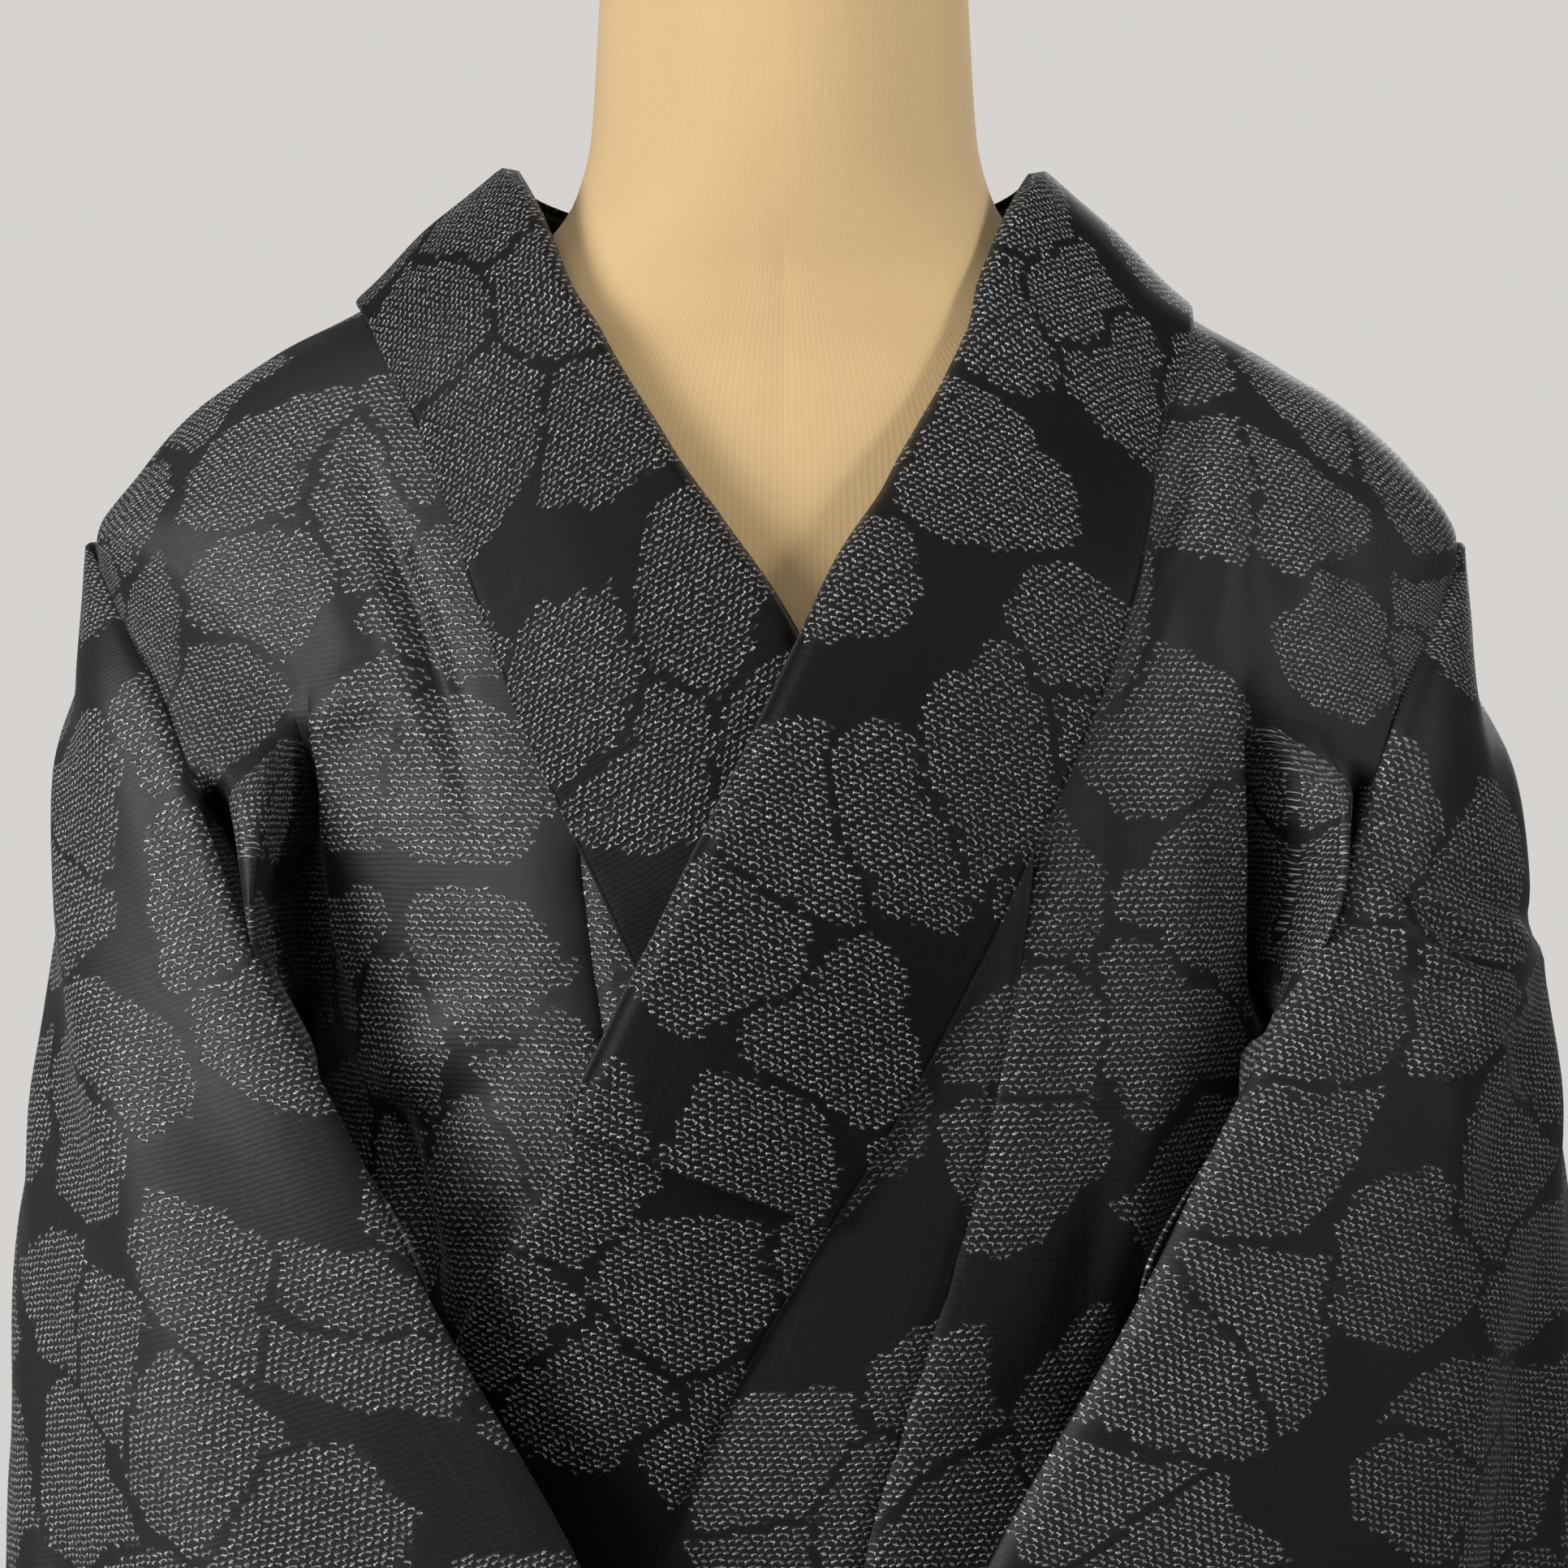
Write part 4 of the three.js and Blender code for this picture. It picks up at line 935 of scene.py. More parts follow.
def sleeve(name, side, mats, offset):
    n = 150
    v = np.linspace(0, 1, n)
    nf, nb = 66, 66
    # open lips of the cuff, on both sides of the outer fold
    lip = 0.012 + 0.085 * np.sqrt(np.clip(np.sin(np.pi * np.clip((v - CUFF_FROM) / (CUFF_TO - CUFF_FROM), 0, 1)), 0, 1))
    def stretch(m, lip_at_end):
        base = np.linspace(0, 1, m - 1)
        out = np.zeros((n, m))
        for i in range(n):
            b = base * (1 - lip[i])
            out[i] = np.append(b, 1.0) if lip_at_end else np.insert(lip[i] + base * (1 - lip[i]), 0, 0.0)
        return out
    TF, TB = stretch(nf, True), stretch(nb, False)
    F = np.stack([sleeve_rows(side, v[i:i + 1], TF[i], False)[0] for i in range(n)])
    B = np.stack([sleeve_rows(side, v[i:i + 1], TB[i], True)[0] for i in range(n)])
    G = np.concatenate([F, B[:, 1:]], 1)
    V = np.broadcast_to(v[:, None], G.shape[:2])
    m = G.shape[1]
    across = arc(G, 1)
    down = arc(G, 0)
    NG = grid_normals(G)
    if NG[n // 2, nf // 2, 1] > 0:
        NG = -NG
    total = across[:, -1:]
    inF = across
    inB = total - across
    col = np.arange(m)[None, :] + 0 * across
    front = smooth(nf + 2, nf - 8, col)
    rear = 1 - front
    calm = smooth(0, 12, inF) * smooth(0, 12, inB) * smooth(0.0, 0.12, V) * smooth(1, 0.96, V)
    U_, V_ = across, 0.5 * down + 0.5 * down.mean(1, keepdims=True)
    d = calm * (1.5 * noise(U_ / 42, V_ / 80, 4 if side > 0 else 6) + 0.8 * noise(U_ / 18, V_ / 36, 1))
    for path, wide, depth, *lp in SLEEVE_DETAIL[side]:
        d += calm * front * fold(side * G[..., 0], G[..., 2], path, wide, depth, *(lp or [0]))
    # the hidden back layer falls in deeper pleats that run down the sleeve
    tb = np.clip((col - nf) / nb, 0, 1)
    pleat = np.zeros_like(d)
    for c0, c1, w, dep in ((0.16, 0.26, 0.05, 6), (0.28, 0.4, 0.05, -7), (0.42, 0.54, 0.055, 7), (0.56, 0.68, 0.05, -7), (0.7, 0.82, 0.05, 6)):
        pleat += dep * np.exp(-(((tb - lerp(c0, c1, V)) / w) ** 2))
    d += rear * calm * pleat * smooth(0.15, 0.4, V) * smooth(0.98, 0.8, V)
    # gathers run down from the tip
    tip = smooth(0.02, 0.1, V) * smooth(0.55, 0.2, V)
    d += front * calm * tip * (1.6 * np.sin(across / 9.0 + 3 * V) * smooth(0, 30, inF))
    d -= 1.6 * np.exp(-((inF / 1.8) ** 2)) * smooth(0.02, 0.1, V)
    G = G + NG * d[..., None]
    P = G.reshape(-1, 3).copy()
    P[:, 0] = side * P[:, 0] + at(MIDDLE, "shift", P[:, 2])
    P[:, 2] = np.minimum(P[:, 2], 1475)
    P = np.concatenate([P])
    uv = np.stack([U_, V_, 0 * U_], -1).reshape(-1, 3)
    keep = np.ones((n - 1, m - 1), bool)
    vm = (v[:-1] + v[1:]) / 2
    cut = (vm > CUFF_FROM) & (vm < CUFF_TO)
    keep[np.ix_(cut, [nf - 2, nf - 1])] = False
    Q = quads(n, m, keep)
    # bottom seam: front layer to back layer
    last = (n - 1) * m
    bot = []
    for c in range(min(nf - 1, nb - 1)):
        bot.append([last + c, last + c + 1, last + m - 2 - c, last + m - 1 - c])
    Qb = np.array(bot)
    Qb = Qb[Qb[:, 1] != Qb[:, 2]]
    Q = np.concatenate([Q, Qb])
    G3 = P.reshape(-1, 3)
    Q = oriented(G3, Q, np.array([side * 190, -30, 1150])) if False else Q
    a, b, c, dd = (P[Q[:len(Q) // 3, i]] for i in range(4))
    fn = np.cross(c - a, dd - b)
    facing = fn[:, 1].sum()
    mid = n * m // 2
    test = quads(n, m)[(n // 2) * (m - 1) + nf // 2][None]
    a, b, c, dd = (P[test[:, i]] for i in range(4))
    if np.cross(c - a, dd - b)[0, 1] > 0:
        Q = Q[:, ::-1]
    uv = uv / 1000 + np.array(offset)
    return shell(name, P, Q, SHELL, uv, mats)


# ----------------------------------------------------------------- materials
class Nodes:
    """Small helper that builds shader maths as expressions."""

    def __init__(self, name):
        self.mat = bpy.data.materials.new(name)
        self.mat.use_nodes = True
        self.nt = self.mat.node_tree
        self.nt.nodes.clear()
        self.out = self.nt.nodes.new("ShaderNodeOutputMaterial")
        self.bsdf = self.nt.nodes.new("ShaderNodeBsdfPrincipled")
        self.nt.links.new(self.bsdf.outputs[0], self.out.inputs[0])

    def new(self, kind, **props):
        n = self.nt.nodes.new(kind)
        for k, v in props.items():
            setattr(n, k, v)
        return n

    def put(self, sock, value):
        if isinstance(value, X):
            self.nt.links.new(value.s, sock)
        elif isinstance(value, bpy.types.NodeSocket):
            self.nt.links.new(value, sock)
        else:
            sock.default_value = value

    def math(self, op, *args):
        n = self.new("ShaderNodeMath", operation=op)
        for i, a in enumerate(args):
            self.put(n.inputs[i], a)
        return X(self, n.outputs[0])

    def vec(self, x, y, z=0.0):
        n = self.new("ShaderNodeCombineXYZ")
        for i, a in enumerate((x, y, z)):
            self.put(n.inputs[i], a)
        return n.outputs[0]

    def noise(self, vec, scale, detail=2.0, rough=0.5, dims="3D", out="Fac", distortion=0.0):
        n = self.new("ShaderNodeTexNoise", noise_dimensions=dims)
        self.put(n.inputs["Vector"], vec)
        n.inputs["Scale"].default_value = scale
        n.inputs["Detail"].default_value = detail
        n.inputs["Roughness"].default_value = rough
        n.inputs["Distortion"].default_value = distortion
        return X(self, n.outputs[out]) if out == "Fac" else n.outputs[out]

    def sstep(self, x, a, b):
        n = self.new("ShaderNodeMapRange", interpolation_type="SMOOTHSTEP")
        self.put(n.inputs["Value"], x)
        n.inputs["From Min"].default_value = a
        n.inputs["From Max"].default_value = b
        n.inputs["To Min"].default_value = 0.0
        n.inputs["To Max"].default_value = 1.0
        return X(self, n.outputs["Result"])

    def mix(self, fac, a, b):
        n = self.new("ShaderNodeMix", data_type="RGBA")
        self.put(n.inputs["Factor"], fac)
        for sock, v in ((n.inputs[6], a), (n.inputs[7], b)):
            if isinstance(v, (X, bpy.types.NodeSocket)):
                self.put(sock, v)
            else:
                sock.default_value = (*v, 1.0)
        return n.outputs[2]

    def white(self, vec, out="Value"):
        n = self.new("ShaderNodeTexWhiteNoise", noise_dimensions="3D")
        self.put(n.inputs["Vector"], vec)
        return X(self, n.outputs[out]) if out == "Value" else n.outputs[out]


class X:
    def __init__(self, g, s):
        self.g, self.s = g, s

    def __add__(self, o): return self.g.math("ADD", self, o)
    __radd__ = __add__
    def __sub__(self, o): return self.g.math("SUBTRACT", self, o)
    def __rsub__(self, o): return self.g.math("SUBTRACT", o, self)
    def __mul__(self, o): return self.g.math("MULTIPLY", self, o)
    __rmul__ = __mul__
    def __truediv__(self, o): return self.g.math("DIVIDE", self, o)


def split(g, sock):
    n = g.new("ShaderNodeSeparateXYZ")
    g.put(n.inputs[0], sock)
    return [X(g, n.outputs[i]) for i in range(3)]


def tone3(c, k):
    return tuple(min(1.0, v * k) for v in c)


def cloth_material(name, seed=0.0, ground_k=1.0, light_k=1.0, shine=0.34):
    g = Nodes(name)
    A = g.new("ShaderNodeAttribute", attribute_name="cloth")
    u, v, _ = split(g, A.outputs["Vector"])
    # threads wander a little
    wob = g.noise(g.vec(u, v), 120.0, 3.0, 0.6)
    wob2 = g.noise(g.vec(u, v, 3.7), 120.0, 3.0, 0.6)
    u1 = u + (wob - 0.5) * 0.0022
    v1 = v + (wob2 - 0.5) * 0.0018
    # --- flecks in staggered rows
    su, sv = 0.00236, 0.00186
    rv = v1 / sv
    row = g.math("FLOOR", rv)
    odd = g.math("MULTIPLY", g.math("FRACT", row * 0.5), 2.0)
    ru = u1 / su + odd * 0.5
    colm = g.math("FLOOR", ru)
    fu = (g.math("FRACT", ru) - 0.5) * su          # metres from the fleck's middle
    fv = (g.math("FRACT", rv) - 0.5) * sv
    cu = (colm + 0.5 - odd * 0.5) * su
    cv = (row + 0.5) * sv
    r1 = g.white(g.vec(colm, row, 2.0))
    r2 = g.white(g.vec(colm, row, 3.0))
    r3 = g.white(g.vec(colm, row, 5.0))
    rag = g.white(g.vec(colm, row, 1.0))
    # --- petals: leaf shapes that touch along thin lines and leave small
    # kite-shaped plain places where several meet; made of whole flecks
    big = g.noise(g.vec(cu, cv, seed), 15.0, 3.0, 0.55, out="Color")
    bx, by, _ = split(g, big)
    px = (cu + (bx - 0.5) * 0.046) / 0.0440
    py = (cv + (by - 0.5) * 0.046) / 0.0530
    pv = g.vec(px, py, 0.0)
    e = g.new("ShaderNodeTexVoronoi", feature="DISTANCE_TO_EDGE", voronoi_dimensions="2D")
    f = g.new("ShaderNodeTexVoronoi", feature="F1", voronoi_dimensions="2D")
    for n in (e, f):
        g.put(n.inputs["Vector"], pv)
        n.inputs["Scale"].default_value = 1.0
        n.inputs["Randomness"].default_value = 0.92
    cr, cg, cb = split(g, f.outputs["Color"])
    qx, qy, _ = split(g, f.outputs["Position"])
    dx, dy = px - qx, (py - qy) * 1.2
    ang = cr * math.pi
    ca, sa = g.math("COSINE", ang), g.math("SINE", ang)
    ex = (dx * ca + dy * sa) / (cg * 0.18 + 0.64)
    # narrower toward one end
    taper = g.math("MINIMUM", g.math("MAXIMUM", ex, -1.0), 1.0) * 0.34 + 1.0
    ey = (dy * ca - dx * sa) / ((cb * 0.14 + 0.47) * taper)
    oval = g.math("SQRT", ex * ex + ey * ey)
    rg = (rag - 0.5)
    dte = X(g, e.outputs["Distance"])
    inside = g.sstep(dte + rg * 0.020 - cb * 0.008, 0.014, 0.022)
    round_ = g.sstep(oval + rg * 0.06, 1.0, 0.975)
    petal = inside * round_
    # flecks thin out towards a petal's edge
    near = g.sstep(dte, 0.015, 0.11)
    keepf = g.sstep(r2 + near * 0.18, 0.13, 0.132)
    # --- one fleck: a slanted float, a hook at its end, brighter where they meet
    flip = g.math("SIGN", r1 - 0.30)
    fu2 = fu * flip
    k = 0.001
    jx = (r3 - 0.5) * (0.62 * k)
    jy = (rag - 0.5) * (0.5 * k)
    fx, fy = fu2 + jx, fv + jy

    def stroke(x, y, ax, ay, bx_, by_, w):
        ddx, ddy = bx_ - ax, by_ - ay
        L = ddx * ddx + ddy * ddy
        t = g.math("MULTIPLY", (x - ax) * ddx + (y - ay) * ddy, 1.0 / L)
        t = g.math("MINIMUM", g.math("MAXIMUM", t, 0.0), 1.0)
        sx = (x - ax) - t * ddx
        sy = (y - ay) - t * ddy
        d = g.math("SQRT", sx * sx + sy * sy)
        return g.sstep(d, w, w * 0.3)
    s1 = stroke(fx, fy, -0.78 * k, -0.24 * k, 0.42 * k, 0.14 * k, 0.23 * k)
    s2 = stroke(fx, fy, 0.42 * k, 0.14 * k, 0.30 * k, 0.66 * k, 0.20 * k)
    s3 = stroke(fx, fy, -0.25 * k, 0.42 * k, -0.1 * k, -0.5 * k, 0.18 * k)
    s2 = s2 * g.sstep(r3, 0.25, 0.251)
    s3 = s3 * g.sstep(r3, 0.30, 0.299)
    dx2, dy2 = fx - 0.42 * k, fy - 0.14 * k
    knot = g.sstep(g.math("SQRT", dx2 * dx2 + dy2 * dy2), 0.36 * k, 0.14 * k)
    fleck = g.math("MAXIMUM", g.math("MAXIMUM", s1 * 0.55, s2 * 0.66), g.math("MAXIMUM", s3 * 0.5, knot))
    on = petal * keepf
    fl = fleck * on
    # the raised float under each fleck; the same mask also paints the float lighter in colour, most at its crown, a
    # painted sheen
    lx, ly = (fu2 * 0.93 + fv * 0.37) / (0.98 * k), (fv * 0.93 - fu2 * 0.37) / (0.52 * k)
    lump_and_sheen = g.sstep(lx * lx + ly * ly, 1.25, 0.0) * on
    bright = r2 * r2 * 0.75 + 0.3
    tone = g.noise(g.vec(u, v, 9.0), 16.0, 2.0, 0.5)
    # --- ground: weft ribs, twill, slubs along the warp
    rib = g.math("SINE", v1 * (2 * math.pi / 0.00165)) * 0.5 + 0.5
    tw = g.math("SINE", (u1 * 1.35 + v1) * (2 * math.pi / 0.00082)) * 0.5 + 0.5
    slub = g.sstep(g.noise(g.vec(u, v * 0.02), 620.0, 2.0, 0.6), 0.56, 0.74)
    haze = g.noise(g.vec(u, v, 5.0), 9.0, 3.0, 0.55)
    fine = g.white(g.vec(g.math("FLOOR", u1 / 0.00042), g.math("FLOOR", v1 / 0.00042), 4.0))
    ground = g.mix(rib * 0.35 + tw * 0.3 + fine * 0.35, tone3(GROUND_LOW, ground_k), tone3(GROUND_HIGH, ground_k))
    ground = g.mix(slub * 0.3, ground, tone3((0.030, 0.031, 0.034), ground_k))
    ground = g.mix(haze * 0.3, ground, tone3((0.008, 0.0083, 0.0098), ground_k))
    # inside a petal the ground is a little lighter, from the floats' tails
    ground = g.mix(petal * 0.35, ground, tone3((0.034, 0.036, 0.040), ground_k))
    # painted sheen: the raised floats are painted lighter in the ground colour, most at their crowns; their bump in the
    # height below is real
    ground = g.mix(lump_and_sheen * 0.45, ground, tone3((0.072, 0.075, 0.081), ground_k))
    lightc = g.mix(tone, tone3((0.56, 0.58, 0.60), light_k), tone3((0.76, 0.765, 0.755), light_k))
    darkc = g.mix(tone, tone3((0.13, 0.137, 0.148), light_k), tone3((0.23, 0.237, 0.243), light_k))
    fcol = g.mix(bright, darkc, lightc)
    col = g.mix(fl, ground, fcol)
    g.put(g.bsdf.inputs["Base Color"], col)
    rough = 0.50 - fl * 0.10 + (haze - 0.5) * 0.08 - rib * 0.04 + fine * 0.05
    g.put(g.bsdf.inputs["Roughness"], rough)
    g.put(g.bsdf.inputs["Specular IOR Level"], fl * 0.4 + shine)
    g.bsdf.inputs["Sheen Weight"].default_value = 0.16
    g.bsdf.inputs["Sheen Roughness"].default_value = 0.3
    g.bsdf.inputs["Sheen Tint"].default_value = (0.86, 0.9, 1.0, 1.0)
    crepe = g.noise(g.vec(u, v * 0.6, 2.0), 240.0, 2.0, 0.55)
    height = lump_and_sheen * 0.26 + fl * 0.10 + rib * 0.030 + tw * 0.03 + crepe * 0.10 + slub * 0.02 + fine * 0.03
    b = g.new("ShaderNodeBump")
    b.inputs["Strength"].default_value = 1.0
    b.inputs["Distance"].default_value = 0.001
    g.put(b.inputs["Height"], height)
    g.put(g.bsdf.inputs["Normal"], b.outputs["Normal"])
    return g.mat


GROUND_LOW, GROUND_HIGH = (0.0034, 0.0037, 0.0045), (0.0165, 0.0172, 0.0195)


def jersey_material(name):
    g = Nodes(name)
    A = g.new("ShaderNodeAttribute", attribute_name="cloth")
    u, v, _ = split(g, A.outputs["Vector"])
    wob = g.noise(g.vec(u, v), 30.0, 2.0)
    u1 = u + (wob - 0.5) * 0.0006
    rib = g.math("SINE", u1 * (2 * math.pi / 0.00094)) * 0.5 + 0.5
    loop = g.math("SINE", v * (2 * math.pi / 0.0009) + u1 * (2 * math.pi / 0.00094)) * 0.5 + 0.5
    fuzz = g.noise(g.vec(u, v, 1.0), 420.0, 3.0, 0.6)
    haze = g.noise(g.vec(u, v, 4.0), 11.0, 3.0)
    c = g.mix(rib * 0.3 + loop * 0.2 + fuzz * 0.3 + 0.2, (0.57, 0.375, 0.178), (0.76, 0.53, 0.265))
    c = g.mix(haze * 0.35, c, (0.70, 0.48, 0.235))
    g.put(g.bsdf.inputs["Base Color"], c)
    g.put(g.bsdf.inputs["Roughness"], 0.88 - fuzz * 0.1)
    g.bsdf.inputs["Specular IOR Level"].default_value = 0.3
    g.bsdf.inputs["Sheen Weight"].default_value = 0.55
    g.bsdf.inputs["Sheen Roughness"].default_value = 0.6
    g.bsdf.inputs["Sheen Tint"].default_value = (1.0, 0.83, 0.60, 1.0)
    h = rib * 0.045 + loop * 0.03 + fuzz * 0.05
    b = g.new("ShaderNodeBump")
    b.inputs["Strength"].default_value = 0.8
    b.inputs["Distance"].default_value = 0.001
    g.put(b.inputs["Height"], h)
    g.put(g.bsdf.inputs["Normal"], b.outputs["Normal"])
    return g.mat


def metal_material(name, colour, rough, grain):
    g = Nodes(name)
    tc = g.new("ShaderNodeTexCoord")
    p = tc.outputs["Object"]
    n1 = g.noise(p, 900.0 if grain else 300.0, 3.0, 0.6)
    n2 = g.noise(p, 14.0, 3.0, 0.6)
    c = g.mix(n1 * 0.35 + n2 * 0.3, tuple(0.82 * x for x in colour), tuple(min(1, 1.15 * x) for x in colour))
    g.put(g.bsdf.inputs["Base Color"], c)
    g.put(g.bsdf.inputs["Roughness"], n2 * 0.16 + (rough - 0.08) + n1 * 0.05)
    g.bsdf.inputs["Metallic"].default_value = 0.0 if grain else 0.85
    b = g.new("ShaderNodeBump")
    b.inputs["Strength"].default_value = 0.5
    b.inputs["Distance"].default_value = 0.0004 if grain else 0.0001
    g.put(b.inputs["Height"], n1)
    g.put(g.bsdf.inputs["Normal"], b.outputs["Normal"])
    return g.mat


# ---------------------------------------------------------------- dress form
def form_torso(name, mats):
    z = np.concatenate([np.linspace(850, 862, 7), np.arange(870, 1490, 8), np.arange(1490, 1600, 3.5),
                        np.arange(1600, 1664, 5), np.linspace(1664, 1676, 9)])
    n = 144
    th = np.linspace(0, 2 * math.pi, n, endpoint=False)
    Z, T = np.meshgrid(z, th, indexing="ij")
    half, fr, bk, mid = (at(FORM, c, Z) for c in ("half", "front", "back", "mid"))
    c, s = np.cos(T), np.sin(T)
    depth = np.where(c > 0, fr + mid, bk)
    depth = np.where(c > 0, fr + mid, bk - mid)
    P = np.stack([half * s, mid - depth * c, Z], -1)
    # vertical panel seams of the cover, faint
    seam = np.zeros_like(T)
    for a in (0, math.pi, math.radians(90), math.radians(270)):
        off = (T - a + math.pi) % (2 * math.pi) - math.pi
        seam += np.exp(-((off * 120 / 1.6) ** 2))
    nrm = np.stack([s, -c, 0 * s], -1)
    P = P - nrm * (0.5 * seam * (Z < 1560))[..., None]
    rows = len(z)
    r, cc = np.meshgrid(np.arange(rows - 1), np.arange(n), indexing="ij")
    Q = np.stack([r * n + cc, r * n + (cc + 1) % n, (r + 1) * n + (cc + 1) % n, (r + 1) * n + cc], -1).reshape(-1, 4)
    V = P.reshape(-1, 3)
    per = np.linalg.norm(np.diff(np.concatenate([P, P[:, :1]], 1), axis=1), axis=-1).sum(1)
    # the ribs keep their number round the form, so they close at the back
    U = (T / (2 * math.pi)) * 360 * 1.25 / 1000
    # the attribute isn't continuous at the closing seam, so the ring is cut there
    first = np.arange(rows) * n
    extra = V[first]
    Vall = np.concatenate([V, extra])
    uv = np.stack([U, Z / 1000, 0 * Z], -1).reshape(-1, 3)
    uvx = uv[first].copy()
    uvx[:, 0] = 360 * 1.25 / 1000
    uvall = np.concatenate([uv, uvx])
    base = rows * n
    lastcol = cc.reshape(-1) == n - 1
    rr = r.reshape(-1)
    Q[lastcol, 1] = base + rr[lastcol]
    Q[lastcol, 2] = base + rr[lastcol] + 1
    # caps
    bot = len(Vall)
    Vall = np.concatenate([Vall, [[0, 0, 850]], [[0, 12, 1678]]])
    uvall = np.concatenate([uvall, [[0, 0.85, 0]], [[0, 1.68, 0]]])
    i = np.arange(n)
    j = (i + 1) % n
    T1 = np.stack([j, i, np.full(n, bot)], -1)
    T2 = np.stack([(rows - 1) * n + i, (rows - 1) * n + j, np.full(n, bot + 1)], -1)
    if np.cross(V[Q[0, 2] % (rows * n)] - V[Q[0, 0]], V[Q[0, 3]] - V[Q[0, 1]]) @ (V[Q[0, 0]] - [0, 0, 850]) < 0:
        Q, T1, T2 = Q[:, ::-1], T1[:, ::-1], T2[:, ::-1]
    o = make_mesh(name, Vall, [Q, T1, T2], mats, {"cloth": uvall})
    import bmesh
    bm = bmesh.new()
    bm.from_mesh(o.data)
    bmesh.ops.recalc_face_normals(bm, faces=bm.faces)
    bm.to_mesh(o.data)
    bm.free()
    return o


def turned(name, profile, mats, n=96):
    """A turned part from (radius, z) points."""
    P = np.array(profile, float)
    th = np.linspace(0, 2 * math.pi, n, endpoint=False)
    ring = P[1:-1]
    V = np.stack([ring[:, :1] * np.cos(th), ring[:, :1] * np.sin(th), ring[:, 1:] + 0 * th], -1).reshape(-1, 3)
    rows = len(ring)
    r, c = np.meshgrid(np.arange(rows - 1), np.arange(n), indexing="ij")
    Q = np.stack([r * n + c, r * n + (c + 1) % n, (r + 1) * n + (c + 1) % n, (r + 1) * n + c], -1).reshape(-1, 4)
    k = len(V)
    V = np.concatenate([V, [[0, 0, P[0, 1]], [0, 0, P[-1, 1]]]])
    i = np.arange(n)
    j = (i + 1) % n
    T1 = np.stack([j, i, np.full(n, k)], -1)
    T2 = np.stack([(rows - 1) * n + i, (rows - 1) * n + j, np.full(n, k + 1)], -1)
    o = make_mesh(name, V, [Q, T1, T2], mats, {})
    m = o.modifiers.new("edges", "WEIGHTED_NORMAL") if False else None
    return o


# ------------------------------------------------------------------ building
AMBIENT = 0.12
LIGHTS = [
    ("key", (-1.90, -1.15, 1.95), (0, 0, 1.3), (0.9, 0.9), 44, (1.0, 0.985, 0.96)),
    ("top", (-0.60, -1.1, 2.8), (0, 0, 1.35), (1.0, 1.0), 9, (1, 1, 1)),
    ("fill", (1.7, -1.3, 1.75), (0, 0, 1.55), (0.8, 0.8), 4.5, (0.97, 0.985, 1.0)),
    ("neck", (0.95, -0.75, 1.95), (0.03, 0, 1.645), (0.25, 0.25), 0.30, (1.0, 0.99, 0.97), 34),
    ("back", (0.9, 2.6, 2.3), (0, 0, 0.9), (1.3, 1.3), 34, (1, 1, 1)),
]
cloth = cloth_material("kimono_cloth", 0.0, 0.85, 1.55, 0.34)
collar_cloth = cloth_material("collar_cloth", 3.3, 0.40, 1.25, 0.16)
jersey = jersey_material("form_jersey")
tube = metal_material("stand_metal", (0.42, 0.42, 0.43), 0.34, False)
coat = metal_material("stand_base", (0.34, 0.34, 0.35), 0.5, True)

made = {}
made["body_left"] = panel("cloth_body_left", 1, [cloth], (0.40, 2.0, 0))
made["body_right"] = panel("cloth_body_right", -1, [cloth], (1.90, 2.3, 0))
made["okumi_left"] = gore("cloth_okumi_left", 1, [cloth], (3.1, 0.4, 0))
made["okumi_right"] = gore("cloth_okumi_right", -1, [cloth], (3.7, 0.9, 0))
made["collar"] = band("cloth_collar", 14, LAYER_GAP + 2.4 / 2, COLLAR_WALL, 0, 0.985, [collar_cloth], (4.3, 0.2, 0), 2, 1.1, 0.0)
made["over_collar"] = band("cloth_over_collar", OVER_END, 2 * LAYER_GAP + 2.4 + 1.4 / 2 + 0.5, OVER_WALL,
                           0.0, 1.035, [collar_cloth], (5.1, 0.6, 0), 5, 2.9, 3.2)
made["sleeve_left"] = sleeve("cloth_sleeve_left", 1, [cloth], (6.0, 0.3, 0))
made["sleeve_right"] = sleeve("cloth_sleeve_right", -1, [cloth], (7.1, 0.8, 0))
made["form_torso"] = form_torso("jersey_form_torso", [jersey])
made["form_pole"] = turned("turned_form_pole", [
    (0, 16.3), (22.6, 16.3), (23.6, 16.8), (24, 17.8), (24, 26.6), (23.6, 27.8), (22.8, 28.6),
    (19, 33.5), (16.2, 38.0), (15.3, 40.2), (15, 42.5), (15, 430), (15, 847.6), (14.4, 849.2), (0, 849.2)], [tube])
made["form_base"] = turned("turned_form_base", [
    (0, 0), (165.5, 0), (167.2, 0.7), (168, 2.4), (168, 10.6), (167.6, 12.4), (166.4, 14.2), (164.4, 15.5),
    (162.0, 16.0), (120, 16.0), (60, 16.0), (0, 16.0)], [coat], 160)

for node, o in made.items():
    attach(o, "root")
    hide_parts(node)

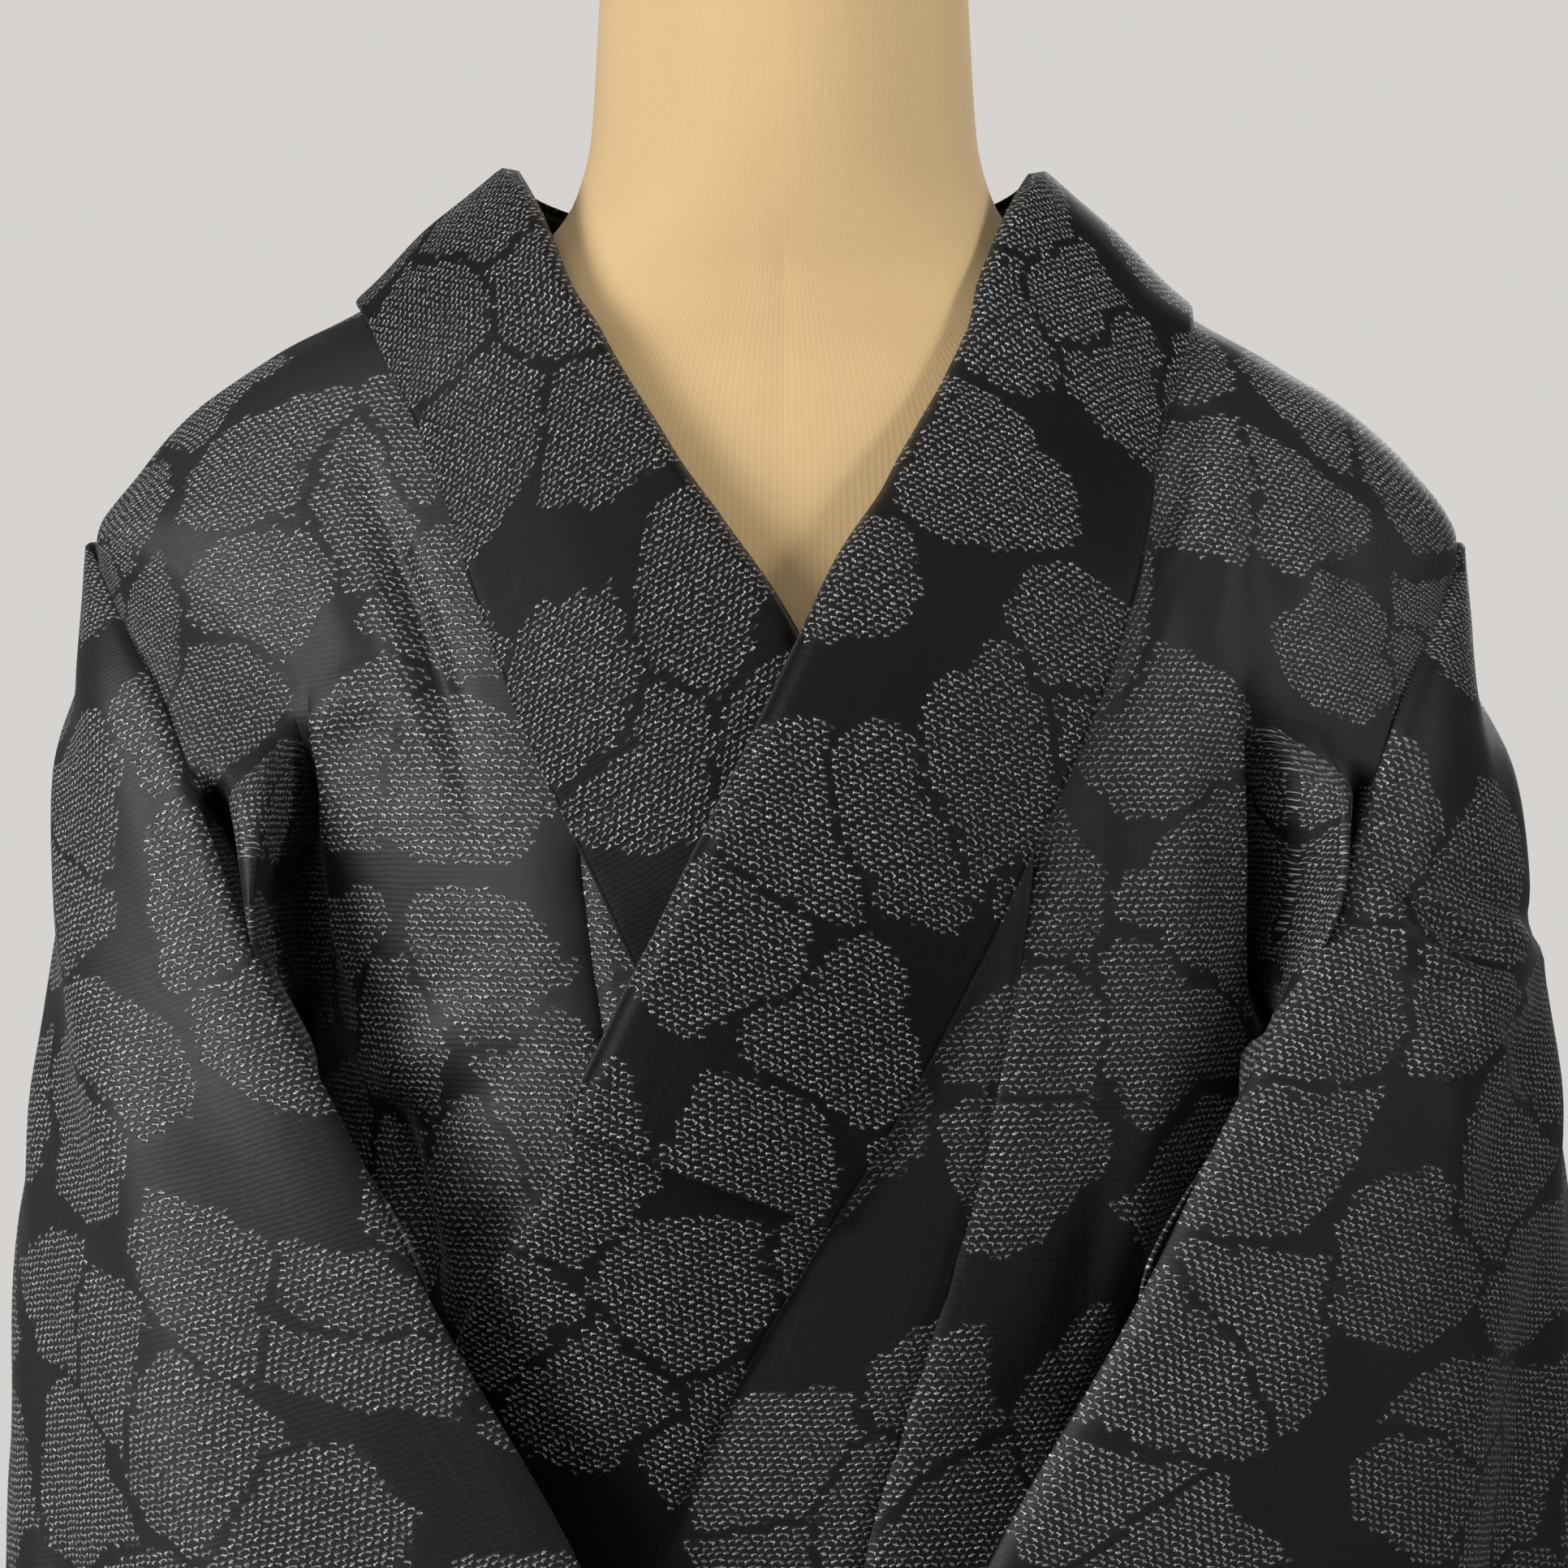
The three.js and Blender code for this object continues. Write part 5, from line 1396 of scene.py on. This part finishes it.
# --------------------------------------------------------------- floor, light
scene = bpy.context.scene
PALE = (0.672, 0.652, 0.630)
g = Nodes("floor")
pos = g.new("ShaderNodeTexCoord").outputs["Object"]
n1 = g.noise(pos, 3.0, 3.0)
g.put(g.bsdf.inputs["Base Color"], g.mix(n1 * 0.5, (0.70, 0.69, 0.67), (0.74, 0.73, 0.71)))
g.bsdf.inputs["Roughness"].default_value = 0.8
# the floor melts into the pale surround, so no horizon shows
px, py, _ = split(g, pos)
far = g.sstep(g.math("SQRT", px * px + py * py), 3.3, 1.0)
g.put(g.bsdf.inputs["Alpha"], far)
bpy.ops.mesh.primitive_circle_add(vertices=96, radius=3.4, fill_type="NGON", location=(0, 0, 0))
floor = bpy.context.object
floor.name = "floor"
floor.data.materials.append(g.mat)

world = bpy.data.worlds.new("studio")
scene.world = world
world.use_nodes = True
wt = world.node_tree
bg = wt.nodes["Background"]
bg.inputs[0].default_value = (0.97, 0.985, 1.0, 1)
bg.inputs[1].default_value = AMBIENT
seen = wt.nodes.new("ShaderNodeBackground")
seen.inputs[0].default_value = (*PALE, 1)
ray = wt.nodes.new("ShaderNodeLightPath")
pick = wt.nodes.new("ShaderNodeMixShader")
wt.links.new(ray.outputs["Is Camera Ray"], pick.inputs[0])
wt.links.new(bg.outputs[0], pick.inputs[1])
wt.links.new(seen.outputs[0], pick.inputs[2])
wt.links.new(pick.outputs[0], wt.nodes["World Output"].inputs[0])


def area(name, loc, target, size, power, colour=(1, 1, 1), spread=180):
    L = bpy.data.lights.new(name, "AREA")
    L.shape, L.size, L.size_y = "RECTANGLE", size[0], size[1]
    L.energy, L.color = power, colour
    L.spread = spread * RAD
    o = bpy.data.objects.new(name, L)
    scene.collection.objects.link(o)
    from mathutils import Vector
    o.location = loc
    o.rotation_euler = (Vector(target) - Vector(loc)).to_track_quat("-Z", "Y").to_euler()
    return o


for light in LIGHTS:
    area(*light)

cam = bpy.data.cameras.new("camera")
cam.sensor_width = 36
cam.lens = 36 * 3605 / 1932
cam.clip_start, cam.clip_end = 0.02, 100
co = bpy.data.objects.new("camera", cam)
co.location = (0, -0.901, 1.400)
co.rotation_euler = (math.pi / 2, 0, 0)
scene.collection.objects.link(co)
scene.camera = co
scene.view_settings.view_transform = "Standard"
scene.view_settings.look = "None"
